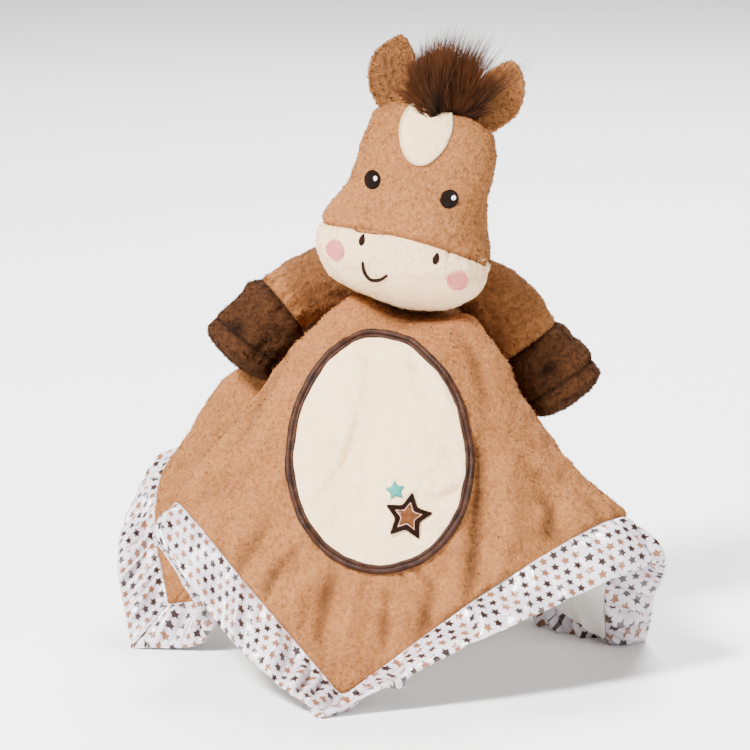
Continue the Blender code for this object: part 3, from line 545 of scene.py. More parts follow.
def cord_finish():
    """Dark satin strip wound slantwise round its cord."""
    f = Finish("piping_satin", 0.55, Specular_IOR_Level=0.15)
    ribs = f.bands(f.place("UV"), 260.0, 1.2, 2.0, "DIAGONAL")
    tone = f.noise(f.place(), 0.006, 3.0)
    f.colour(f.mix(f.ramp(tone, 0.3, 0.7), rgb(26, 11, 5), rgb(58, 31, 17)))
    f.bump(f.plus(ribs, f.times(tone, 2.0)), 0.0002, 0.5)
    return f.material


def stuffing_finish():
    """Loose white fibre filling."""
    f = Finish("polyester_stuffing", 1.0, Sheen_Weight=0.3)
    tone = f.noise(f.place(), 0.004, 5.0, 0.7)
    f.colour(f.mix(tone, rgb(225, 225, 222), rgb(248, 248, 246)))
    f.bump(tone, 0.002)
    return f.material


def fur_finish():
    """Long dark hairs, each of its own shade and paler to the tip."""
    f = Finish("mane_fur", 0.65, Specular_IOR_Level=0.12)
    each = f.own("shade")
    f.colour(f.mix(each, rgb(12, 5, 2), rgb(100, 56, 26)))
    return f.material


# The third colour of each plush and pile finish is its painted shade colour
tan_plush = plush_finish("tan_plush", rgb(116, 71, 37), rgb(158, 104, 61), rgb(74, 47, 29))
cream_plush = plush_finish("cream_plush", rgb(226, 186, 140), rgb(242, 209, 168),
                           rgb(168, 126, 86), 0.0009, 0.1)
patch_plush = plush_finish("patch_plush", rgb(234, 196, 148), rgb(248, 218, 176),
                           rgb(170, 132, 94), 0.0009, 0.05, 0.0004)
brown_plush = plush_finish("brown_plush", rgb(45, 25, 12), rgb(82, 50, 28), rgb(18, 9, 5), 0.0011,
                           0.15, 0.0009)
tan_pile = pile_finish("tan_pile", rgb(100, 62, 33), rgb(182, 126, 79), rgb(64, 41, 25))
cream_pile = pile_finish("cream_pile", rgb(224, 184, 138), rgb(246, 216, 178),
                         rgb(160, 118, 80))
brown_pile = pile_finish("brown_pile", rgb(37, 20, 9), rgb(98, 62, 36), rgb(15, 7, 4))
star_satin = satin_finish()
lining = lining_finish()
brown_stitch = thread_finish("brown_stitch", rgb(18, 8, 5), rgb(44, 23, 14))
white_stitch = thread_finish("white_stitch", rgb(212, 184, 148), rgb(238, 216, 184))
pink_stitch = thread_finish("pink_stitch", rgb(196, 64, 60), rgb(224, 108, 98), 0.0006)
blush_stitch = thread_finish("blush_stitch", rgb(218, 122, 110), rgb(240, 170, 156), 0.0006)
iris_stitch = thread_finish("iris_stitch", rgb(10, 5, 3), rgb(30, 17, 12))
glint_stitch = thread_finish("glint_stitch", rgb(236, 232, 232), rgb(252, 250, 252))
teal_stitch = thread_finish("teal_stitch", rgb(34, 122, 118), rgb(86, 176, 168))
rose_stitch = thread_finish("rose_stitch", rgb(196, 136, 112), rgb(232, 186, 164))
piping_satin = cord_finish()
star_felt = plush_finish("star_felt", rgb(76, 42, 22), rgb(108, 65, 38), rgb(50, 26, 13), 0.0005,
                         0.1, 0.0002)
loose_stuffing = stuffing_finish()
mane_fur = fur_finish()

for node, finish in {"neck_knob": tan_plush, "head_filling": loose_stuffing,
                     "arm_filling_left": loose_stuffing,
                     "arm_filling_right": loose_stuffing}.items():
    frame["nodes"][node].data.materials.clear()
    frame["nodes"][node].data.materials.append(finish)


# The blanket
def puckers(place, off, length, count, seed, *ranges):
    """Depth, at a place along a gathered seam and a distance off it, of the short folds that run
    off it. The ranges are those of the folds' depths, widths and runs."""
    made = rng(seed)
    lines = [np.sort(made.uniform(0, length, count))]
    lines += [made.uniform(*limits, count) for limits in ranges]
    total = np.zeros(np.broadcast(place, off).shape)
    for at, depth, width, run in zip(*lines):
        total += depth * np.exp(-((place - at) / width) ** 2) * np.exp(-(off / run) ** 2)
    return total


def patch_place(points):
    """Where points lie in the plane of the tummy patch, from its middle."""
    x = points[..., 0] - stand_shift[0] - patch_middle[0]
    back = points[..., 1] - stand_shift[1]
    y = points[..., 2] * math.cos(view_tilt) - back * math.sin(view_tilt)
    return x, y - patch_middle[1]


def patch_reach(points):
    """Distance outside the patch's edge, and the turn round its middle."""
    x, y = patch_place(points)
    turn = np.arctan2(y / patch_height, x / patch_width)
    share = np.hypot(x / (patch_width / 2), y / (patch_height / 2))
    return (share - 1) * 0.5 * (patch_width + patch_height) / 2, turn


# The blanket's soft folds as someone in front sees them: height and width in millimetres, then
# points of the fold's line in the upright plane, right of and above the middle of the view.
FRONT_FOLDS = (
    (-3.4, 4.0, ((59, -35), (58, -70), (55, -104), (52, -127))),
    (2.2, 8.0, ((71, -42), (73, -81), (70, -120))),
    (-2.2, 4.2, ((91, -66), (98, -79), (97, -94))),
    (1.2, 6.0, ((105, -73), (112, -87))),
    (-2.2, 3.4, ((-40, -95), (-55, -110), (-63, -128))),
    (1.6, 5.0, ((-32, -104), (-43, -120), (-49, -137))),
    (-1.8, 3.6, ((-59, -81), (-69, -97), (-77, -116))),
    (-2.4, 4.0, ((-22, -107), (-28, -128), (-32, -152))),
    (1.8, 5.5, ((-13, -115), (-15, -140), (-16, -164))),
    (-1.2, 3.5, ((7, -115), (6, -137), (3, -160))),
    (-2.4, 4.0, ((32, -116), (29, -134), (23, -154))),
    (1.6, 6.0, ((43, -112), (42, -132), (39, -148))),
    (-1.3, 5.0, ((-46, 14), (-63, -14), (-74, -39))),
    (1.2, 6.0, ((-63, 8), (-78, -17), (-89, -42))),
    (-1.6, 4.5, ((45, 26), (57, 4), (62, -21))),
    (-1.9, 2.7, ((-1, 21), (-4, -3), (-12, -35), (-24, -61), (-39, -77))),
    (1.3, 4.5, ((-10, 17), (-16, -11), (-25, -42))),
    (-1.5, 2.2, ((51, -62), (38, -68), (27, -70))),
    (0.9, 5.0, ((35, 13), (38, -25))),
    (-0.9, 3.0, ((22, 13), (24, -10))),
)
view_distance = photo_width * pixel * camera_lens / camera_sensor
view_target = stand_shift + np.array(view_offset) * pixel


def front_view(points):
    """Places of points in the upright view plane through the lovey's middle."""
    off = points - view_target
    ahead = off @ np.array((0, math.cos(view_tilt), -math.sin(view_tilt)))
    up = off @ np.array((0, math.sin(view_tilt), math.cos(view_tilt)))
    nearer = view_distance / (view_distance + ahead)
    return np.stack((off[..., 0] * nearer, up * nearer), axis=-1)


def front_folds(points, spread=1.0):
    """How far the soft folds raise or sink the cloth in front."""
    seen = front_view(points)
    total = np.zeros(seen.shape[:-1])
    for height, width, line in FRONT_FOLDS:
        line = np.array(line, float) * 0.001
        knots = np.linspace(0, 1, len(line))
        best = np.zeros_like(total)
        for t in np.linspace(0.02, 0.98, 26):
            spot = along(line, knots, t)[0]
            off = np.linalg.norm(seen - spot, axis=-1)
            share = math.sin(math.pi * t) ** 0.6
            best = np.maximum(best, share * np.exp(-(off / (spread * width * 0.001)) ** 2))
        total += height * 0.001 * best
    return total


def panel_surface(columns, rows):
    """The plush panel's seat, normals, flat places, folds and rolled edge."""
    points, flat = cloth(columns, rows)
    points = softened(points, drape_softness * columns)
    normals = unit(softened(grid_normals(points), 0.004 * columns))
    flat = flat * (blanket_side - 2 * border_width) / blanket_side * ROW_KNOTS[-1]
    lift = 0.0007 * ripple(flat, 0.045, 11) + 0.00035 * ripple(flat, 0.016, 12)
    lift += 0.00012 * ripple(flat, 0.006, 13)
    row = np.array(rows)[:, None]
    side_place = np.arange(4 * columns)[None, :] / columns * blanket_side
    off = (1 - row) * slope_length
    lift -= puckers(side_place, off, 4 * blanket_side, 110, 21, (0.0004, 0.0013),
                    (0.002, 0.005), (0.006, 0.02))
    reach, turn = patch_reach(points)
    front = (points[..., 1] < stand_shift[1] - 0.02) & (np.abs(reach) < 0.06)
    folds = puckers(turn * patch_ring + math.pi * patch_ring, np.maximum(reach, 0),
                    2 * math.pi * patch_ring, 34, 22, (0.0003, 0.0011), (0.0015, 0.0035),
                    (0.005, 0.016))
    lift -= np.where(front, folds, 0)
    lift -= np.where(front, 0.0009 * np.exp(-(reach / 0.0035) ** 2), 0)
    facing = (points[..., 1] < stand_shift[1]) & (normals[..., 1] < 0.2)
    lift += np.where(facing, 1.6 * front_folds(points), 0)
    lift *= np.clip(row / 0.12, 0, 1)
    rolled = np.sqrt(np.clip(1 - (1 - np.clip((1 - row) / 0.03, 0, 1)) ** 2, 0, 1))
    return points, normals, flat, lift, rolled


def shell(top, bottom):
    """Closed sheet between two grids of points, whose rows each close in a ring."""
    rows, columns = top.shape[:2]
    first = rows * columns
    faces = [grid_faces(rows, columns, True), grid_faces(rows, columns, True, True, first)]
    c = np.arange(columns)
    d = (c + 1) % columns
    last = (rows - 1) * columns
    faces.append(np.stack((c, d, first + d, first + c), axis=-1))
    faces.append(np.stack((last + d, last + c, first + last + c, first + last + d), axis=-1))
    return np.concatenate((top.reshape(-1, 3), bottom.reshape(-1, 3))), np.concatenate(faces)


panel_columns = 140
panel_rows = np.concatenate((np.linspace(0.0, 0.97, 76), (0.978, 0.986, 0.993, 0.998, 1.0)))


def make_panel():
    """The plush panel and the lining under it."""
    points, normals, flat, lift, rolled = panel_surface(panel_columns, panel_rows)
    top = points + normals * (0.0002 + (plush_thickness + lift) * rolled)[..., None]
    low = points + normals * ((np.minimum(lift, 0) - 0.0002) * rolled)[..., None]
    uv = np.tile(flat.reshape(-1, 2), (2, 1))
    # Painted shade: darker in the valleys of the folds and puckers, paler on their crests
    painted_shade = 0.42 * np.clip((softened(lift, 3.5) - lift) / 0.0022, -0.5, 1)
    shown = (points[..., 1] < stand_shift[1]) & (normals[..., 1] < 0.2)
    # Painted shade and highlight along the soft front folds: darker valleys, paler ridges
    painted_shade += np.where(shown, -120 * front_folds(points, 0.6), 0)
    # Painted shadow under the head, darkest at the neck
    painted_shade += 0.7 * np.clip(1 - panel_rows[:, None] / 0.15, 0, 1) ** 1.3
    body, faces = shell(top, low)
    body[:, 2] = np.maximum(body[:, 2], 0.0004)
    panel = make_piece("plush_panel", body, faces, tan_plush, "blanket",
                       ["blanket_plush_panel"], uv, hollow=np.tile(painted_shade, (2, 1)))
    points, normals = points[:, ::2], normals[:, ::2]
    under = (np.minimum(lift, 0) * rolled)[:, ::2, None]
    under_top = points + normals * (under - 0.0006 * rolled[..., None])
    under_low = points + normals * (under - 0.0013)
    uv = np.tile(flat[:, ::2].reshape(-1, 2), (2, 1))
    body, faces = shell(under_top, under_low)
    body[:, 2] = np.maximum(body[:, 2], 0.0002)
    below = make_piece("panel_lining", body, faces, lining, "blanket",
                       ["blanket_lining"], uv)
    return panel


border_columns = 300
BORDER_SHARES = (0.0, 0.03, 0.08, 0.15, 0.24, 0.34, 0.44, 0.54, 0.64, 0.74, 0.83, 0.9, 0.95,
                 0.985, 1.0)


def make_borders():
    """Four satin strips, folded double over the blanket's edge and mitred at the corners."""
    share = np.array(BORDER_SHARES)
    rows = np.concatenate(([0.97], 1 + hem_row * share))
    points, _ = cloth(border_columns, rows)
    seam_soft = softened(points, drape_softness * border_columns)
    edge_soft = softened(points, 0.003 * border_columns)
    blend = np.clip((rows - 1) / hem_row, 0, 1)[:, None, None]
    points = seam_soft * (1 - blend) + edge_soft * blend
    normals = unit(softened(grid_normals(points), 0.006 * border_columns))
    points, normals = points[1:], normals[1:]
    for side, name in enumerate(("front_right", "back_right", "back_left", "front_left")):
        picks = np.arange(side * border_columns, (side + 1) * border_columns + 1)
        picks %= 4 * border_columns
        middle, out = points[:, picks], normals[:, picks]
        place = np.arange(border_columns + 1)[None, :] / border_columns * blanket_side
        u = share[:, None]
        off = u * border_width
        grid = np.stack(np.broadcast_arrays(place, off), axis=-1)
        seam_folds = puckers(place, off, blanket_side, 46, 31 + side, (0.0006, 0.0021),
                             (0.0016, 0.0036), (0.006, 0.024))
        back_folds, hem_backs = (
            puckers(place, way, blanket_side, 46, 41 + side, (0.0004, 0.0016),
                    (0.0016, 0.0036), (0.006, 0.024)) for way in (off, border_width - off))
        hem_folds = puckers(place, border_width - off, blanket_side, 30, 51 + side,
                            (0.0004, 0.0013), (0.002, 0.0045), (0.004, 0.012))
        swell = np.sqrt(1 - (2 * u - 1) ** 4)
        full = 0.0022 + 0.0006 * ripple(grid, 0.03, 61 + side)
        half = 0.0004 * (1 - u) + full * swell
        drawn = grid * (1.0, 0.35)
        bend = 0.0022 * ripple(drawn, 0.026, 71 + side) + 0.0009 * ripple(drawn, 0.013, 81 + side)
        bend += 0.0002 * ripple(drawn, 0.007, 85 + side)
        bend *= np.sin(math.pi * u) ** 0.7
        bend += hem_folds - 0.4 * hem_backs
        keep = np.minimum(1, u / 0.1)
        front_lift = np.maximum(half - seam_folds * swell, 0.0003) + bend * keep
        back_lift = -np.maximum(half - back_folds * swell, 0.0003) + bend * keep
        front = middle + out * front_lift[..., None]
        rear = (middle + out * back_lift[..., None])[::-1][1:]
        loop = np.concatenate((front, rear)).transpose(1, 0, 2)
        steps = np.linalg.norm(np.diff(middle, axis=1), axis=-1)
        run = np.concatenate((np.zeros((len(share), 1)), np.cumsum(steps, axis=1)), axis=1)
        run -= run[:, border_columns // 2, None]
        half_row = np.argmin(np.abs(share - 0.5))
        run = run[half_row] * (1 + hem_row * u) / (1 + hem_row * share[half_row])
        steps = np.linalg.norm(np.diff(middle, axis=0), axis=-1)
        skew = np.diff(run, axis=0)
        steps = np.sqrt(np.maximum(steps**2 - skew**2, (0.4 * steps) ** 2))
        wide = np.concatenate((np.zeros((1, border_columns + 1)), np.cumsum(steps, axis=0)))
        run = np.concatenate((run, run[::-1][1:]))
        wide = np.concatenate((wide, (2 * wide[-1] - wide)[::-1][1:]))
        uv = np.stack((run, wide), axis=-1).transpose(1, 0, 2)
        loop[..., 2] = np.maximum(loop[..., 2], 0)
        count = loop.shape[1]
        faces = [list(f) for f in grid_faces(loop.shape[0], count, True)]
        faces += [list(range(count)), list(range(len(loop) * count - 1,
                                                 (len(loop) - 1) * count - 1, -1))]
        border = make_piece(f"satin_{name}", loop, faces, star_satin, "blanket",
                            [f"satin_border_{name}"], uv)
        mend(border)


def mend(piece, merge=False):
    """Facets the end caps, joins doubled points at poles, and turns all faces outwards."""
    shape = bmesh.new()
    shape.from_mesh(piece.data)
    if merge:
        bmesh.ops.remove_doubles(shape, verts=shape.verts, dist=doubled)
    bmesh.ops.triangulate(shape, faces=[f for f in shape.faces if len(f.verts) > 4])
    bmesh.ops.recalc_face_normals(shape, faces=shape.faces)
    shape.to_mesh(piece.data)
    shape.free()
    if merge:
        piece.data.shade_smooth()


panel = make_panel()
make_borders()

# The tummy patch
tummy_frame = (Matrix.Translation(Vector(stand_shift))
               @ Matrix.Rotation(math.radians(90) - view_tilt, 4, "X"))


def lay_loops(tree, plane, loops, heights, far=0.3):
    """Points over a surface under plane outlines, each at a height above it."""
    away = (plane.to_3x3() @ Vector((0, 0, 1))).normalized()
    laid = []
    for loop, height in zip(loops, heights):
        row = []
        for (x, y), lift in zip(loop, np.broadcast_to(height, len(loop))):
            hit, normal, _, _ = tree.ray_cast(plane @ Vector((x, y, far)), -away)
            if hit is None:
                hit, normal = plane @ Vector((x, y, 0)), away
            row.append(hit + (normal + away).normalized() * float(lift))
        laid.append(row)
    return np.array(laid)


def applique(name, tree, plane, loops, heights, finish, body, slot, stands_for=(), uv=None,
             thickness=0.0012, ring=True):
    """A thin closed piece that lies on a surface, given by loops from its middle outwards."""
    laid = lay_loops(tree, plane, loops, heights)
    rows, columns = laid.shape[:2]
    if uv is None:
        uv = np.array(loops)
    piece = make_piece(name, laid, grid_faces(rows, columns, ring), finish, body,
                       stands_for, uv)
    shape = bmesh.new()
    shape.from_mesh(piece.data)
    bmesh.ops.remove_doubles(shape, verts=shape.verts, dist=doubled)
    away = plane.to_3x3() @ Vector((0, 0, 1))
    total = sum((f.normal * f.calc_area() for f in shape.faces), Vector())
    if total.dot(away) < 0:
        bmesh.ops.reverse_faces(shape, faces=shape.faces)
    shape.to_mesh(piece.data)
    shape.free()
    bpy.ops.object.select_all(action="DESELECT")
    bpy.context.view_layer.objects.active = piece
    piece.select_set(True)
    solid = piece.modifiers.new("cloth", "SOLIDIFY")
    solid.thickness = thickness
    solid.offset = -1
    bpy.ops.object.modifier_apply(modifier="cloth")
    return piece


def oval(width, height, middle=(0, 0), steps=64, narrowing=0.0, turn=0.0):
    """Oval outline, narrower at its top by the share narrowing."""
    a = 2 * math.pi * np.arange(steps) / steps
    y = np.sin(a)
    x = np.cos(a) * (1 - narrowing * y) * width / 2
    y = y * height / 2
    c, s = math.cos(turn), math.sin(turn)
    return np.stack((x * c - y * s, x * s + y * c), axis=-1) + middle


def star(radius, middle, turn, waist=0.5, per_edge=6):
    """Five-pointed star outline with slightly blunted tips."""
    a = turn + math.pi / 2 + math.pi * np.arange(10) / 5
    reach = radius * np.where(np.arange(10) % 2, waist, 1.0)
    corners = np.stack((np.cos(a), np.sin(a)), axis=-1) * reach[:, None]
    steps = np.arange(per_edge) / per_edge
    points = [corners[i] + (corners[(i + 1) % 10] - corners[i]) * t
              for i in range(10) for t in steps]
    points = np.array(points)
    around = (np.roll(points, 1, axis=0) + np.roll(points, -1, axis=0) + 2 * points) / 4
    return around + middle


def filled(outline, rings):
    """Loops that shrink an outline to its middle."""
    middle = outline.mean(axis=0)
    return [middle + (outline - middle) * share for share in rings]


def ring_uv(outer, inner, rings):
    """Along and across coordinates of a stitched rim, in metres."""
    width = np.linalg.norm(outer - inner, axis=1).mean()
    return np.array([[(a, width * t) for a in run_along(outer)] for t in rings])


def stitched_rim(name, tree, plane, outer, inner, height, finish, body, slot, stands_for=(),
                 base=0.0):
    """Round-topped row of satin stitches between two outlines."""
    rings = np.linspace(0, 1, 7)
    loops = [inner + (outer - inner) * t for t in rings]
    heights = [base + height * math.sin(math.pi * (0.06 + 0.88 * t)) for t in rings]
    return applique(name, tree, plane, loops, heights, finish, body, slot, stands_for,
                    ring_uv(outer, inner, rings), thickness=base + height + 0.0006)


def patch_edge(grow, steps=120):
    """The patch's outline, grown outwards."""
    return oval(patch_width + 2 * grow, patch_height + 2 * grow, patch_middle, steps,
                patch_narrowing, patch_tilt)


def make_patch():
    """The cream oval with its two sewn stars and its piping."""
    tree = tree_of(panel)
    edge = patch_edge(0.0006)
    shares = np.linspace(0.001, 1.0, 46)
    loops = filled(edge, shares)
    heights = []
    for share, loop in zip(shares, loops):
        fade = min(1, (1 - share) / 0.08)
        soft = 0.0004 * ripple(loop, 0.034, 91) + 0.00015 * ripple(loop, 0.012, 92)
        heights.append(0.0008 + 0.0006 * fade + soft * fade)
    patch = applique("tummy_oval", tree, tummy_frame, loops, heights, patch_plush, "blanket",
                     "cream_plush", ["tummy_patch"], thickness=0.0014)
    # Painted shade in the patch's soft folds, with paler ridges
    mark(patch.data, "hollow", -130 * front_folds(mesh_points(patch.data), 1.3))
    over = tree_of(patch)
    star_middle, small_middle = (
        np.array(patch_middle) + np.array(shares) * (patch_width, patch_height)
        for shares in (star_shares, small_star_shares))

    def outline(inwards):
        """The large star, drawn in from its tips."""
        return star(star_radius - inwards, star_middle, star_turn)

    felt = outline(0.0048)
    applique("felt_star", over, tummy_frame, filled(felt, (0.002, 0.3, 0.6, 0.85, 1.0)),
             (0.0009, 0.0009, 0.0009, 0.0009, 0.0008), star_felt, "blanket", "brown_felt",
             ["brown_star"])
    stitched_rim("star_rim", over, tummy_frame, outline(-0.0006), outline(0.0054), 0.0009,
                 brown_stitch, "blanket", "brown_thread", ["star_stitching"], 0.0009)
    stitched_rim("star_inner_line", over, tummy_frame, outline(0.0051), outline(0.0065), 0.0006,
                 rose_stitch, "blanket", "pink_thread", (), 0.001)
    small = star(small_star_radius, small_middle, small_star_turn)
    applique("teal_star", over, tummy_frame, filled(small, (0.002, 0.35, 0.7, 1.0)),
             (0.0014, 0.0013, 0.001, 0.0005), teal_stitch, "blanket", "teal_thread",
             ["small_star"])
    make_piping(tree)


def tube(path, radius, sides=14):
    """Round cord through a closed path of points, with its along and round coordinates."""
    way = unit(np.roll(path, -1, axis=0) - np.roll(path, 1, axis=0))
    up = np.array((0.0, -0.97, 0.2))
    side = unit(np.cross(way, up))
    other = np.cross(side, way)
    turn = 2 * math.pi * np.arange(sides) / sides
    radius = np.broadcast_to(radius, len(path))[:, None, None]
    ring = side[:, None] * np.cos(turn)[:, None] + other[:, None] * np.sin(turn)[:, None]
    points = path[:, None] + ring * radius
    uv = np.stack(np.broadcast_arrays(run_along(path)[:, None], turn * 0.002), axis=-1)
    return points, uv


def make_piping(tree):
    """A thick and a thin cord side by side, as the folded strip round the oval shows."""
    for name, grow, radius, stands_for in (
        ("oval_piping", 0.0024, 0.0017, ["patch_piping"]),
        ("oval_piping_inner", 0.0001, 0.0012, ()),
    ):
        outline = patch_edge(grow, 260)
        wander = 0.0002 * ripple(outline, 0.02, 94)
        outline = outline + unit(outline - patch_middle) * wander[:, None]
        seat = lay_loops(tree, tummy_frame, [outline], [radius * 0.6])[0]
        seat = softened(seat[None], 2.0)[0]
        thick = radius * (1 + 0.06 * ripple(outline, 0.008, 95))
        points, uv = tube(seat, thick)
        sides = points.shape[1]
        last = (len(outline) - 1) * sides
        c = np.arange(sides)
        d = (c + 1) % sides
        wrap = np.stack((last + c, c, d, last + d), axis=-1)
        faces = np.concatenate((grid_faces(len(outline), sides, True), wrap))
        mend(make_piece(name, points, faces, piping_satin, "blanket", stands_for,
                        uv))


make_patch()

# The head
head_half = np.array((head_width / 2, head_depth / 2, head_height / 2))
head_frame = (
    Matrix.Translation((head_side, -head_forward, head_middle_height))
    @ Matrix.Rotation(head_roll, 4, "Y")
    @ Matrix.Rotation(head_yaw, 4, "Z")
)
head_frame = Matrix.Translation(Vector(stand_shift)) @ head_frame
face_frame = head_frame @ Matrix.Rotation(math.pi / 2, 4, "X")
head_turn = np.array(head_frame)
# At each depth from top to chin: width, depth and how far forward, in shares of half the head
HEAD_SHARES = (
    (-1.00, 1.17, 1.06, 0.00), (-0.85, 1.18, 1.03, 0.00), (-0.68, 0.97, 0.94, 0.00),
    (-0.44, 0.85, 0.86, 0.00), (-0.19, 0.795, 0.85, 0.00), (0.00, 0.84, 0.88, 0.03),
    (0.22, 0.96, 0.95, 0.07), (0.39, 1.07, 1.06, 0.10), (0.55, 1.19, 1.17, 0.11),
    (0.69, 1.29, 1.27, 0.09), (0.83, 1.41, 1.36, 0.06), (0.93, 1.49, 1.40, 0.02),
    (1.00, 1.52, 1.42, 0.00),
)
MOUTH_SHARES = ((-0.36, -0.57), (-0.32, -0.67), (-0.24, -0.73), (-0.14, -0.71), (-0.06, -0.64))


def in_head(points):
    """The world places of points in the head's own frame."""
    return points @ head_turn[:3, :3].T + head_turn[:3, 3]


def head_points(turn, down):
    """Points of the head in its own frame, by turn round it and by depth from -1 to 1."""
    table = np.array(HEAD_SHARES)
    wide, deep, forward = along(table[:, 1:], table[:, 0], down.ravel()).T
    wide, deep, forward = (a.reshape(down.shape) for a in (wide, deep, forward))
    round_share = np.sqrt(np.clip(1 - down**2, 0, 1))
    across = np.sign(np.cos(turn)) * np.abs(np.cos(turn)) ** head_squareness
    back = np.sign(np.sin(turn)) * np.abs(np.sin(turn)) ** head_squareness
    return np.stack((
        across * round_share * wide * head_half[0],
        back * round_share * deep * head_half[1] - forward * head_half[1],
        -down * head_half[2],
    ), axis=-1)


def seam_down(turn):
    """Depth of the seam between the tan head and the cream muzzle at each turn."""
    down = np.full(turn.shape, 0.33)
    for _ in range(12):
        at = head_points(turn, down)
        across = at[..., 0] / (head_width / 2 + 0.02)
        back = np.maximum(0, at[..., 1] / (head_depth / 2 + 0.02))
        down = 0.257 + 0.225 * across**2 + 0.32 * back
    return down


def make_head():
    """The tan crown and the cream muzzle, tucked in under one puckered seam."""
    turns = 220
    turn = 2 * math.pi * np.arange(turns) / turns
    seam = seam_down(turn)
    pieces = []
    for name, rows, start, stop, finish, slot, node in (
        ("crown", 110, -1.0, seam, tan_plush, "tan_plush", "head_crown"),
        ("muzzle", 84, seam, 1.0, cream_plush, "cream_plush", "head_muzzle"),
    ):
        angle = np.linspace(0, 1, rows)[:, None]
        start_angle, stop_angle = (np.arcsin(np.clip(a, -1, 1)) for a in (start, stop))
        down = np.sin(start_angle + (stop_angle - start_angle) * angle)
        down = np.broadcast_to(down, (rows, turns))
        points = head_points(np.broadcast_to(turn, down.shape), down)
        normals = unit(np.cross(np.roll(points, -1, 1) - np.roll(points, 1, 1),
                                -np.gradient(points, axis=0)))
        flip = np.sign((points * normals).sum(axis=-1, keepdims=True))
        normals = normals * np.where(flip == 0, 1, flip)
        off = np.abs(down - seam) * head_half[2] / np.maximum(np.sqrt(1 - np.minimum(
            seam, 0.9) ** 2), 0.4)
        folds = puckers(turn * head_ring, off, 2 * math.pi * head_ring, 38, 101,
                        (0.0002, 0.0008), (0.0012, 0.003), (0.003, 0.009))
        lift = -0.0016 * np.exp(-(off / 0.0014) ** 2) - folds
        lift += 0.0005 * np.exp(-((off - 0.004) / 0.0025) ** 2)
        # Painted shade in the seam's groove and its puckers
        painted_shade = 0.35 * np.clip(-lift / 0.0016, -0.5, 1)
        lift += 0.0006 * ripple(points, 0.05, 102) + 0.00025 * ripple(points, 0.014, 103)
        lift += 0.0001 * ripple(points, 0.005, 104)
        painted_shade = np.concatenate((painted_shade, painted_shade[:2]))
        toward, rim = (1, -1) if name == "crown" else (-1, 0)
        tuck = in_head(head_points(turn, seam + 0.03 * toward) - normals[rim] * 0.0023)[None]
        inner = in_head(head_points(turn, seam + 0.012 * toward) * 0.93)[None]
        points = in_head(points + normals * lift[..., None])
        if name == "crown":
            points = np.concatenate((points, tuck, inner))
            hole = range((rows + 1) * turns, (rows + 2) * turns)
        else:
            points = np.concatenate((inner, tuck, points))
            hole = range(turns)
        faces = [list(f) for f in grid_faces(rows + 2, turns, True, True)] + [list(hole)]
        piece = make_piece(f"plush_{name}", points, faces, finish, "head", [node],
                           hollow=painted_shade)
        mend(piece, True)
        pieces.append(piece)
    return pieces


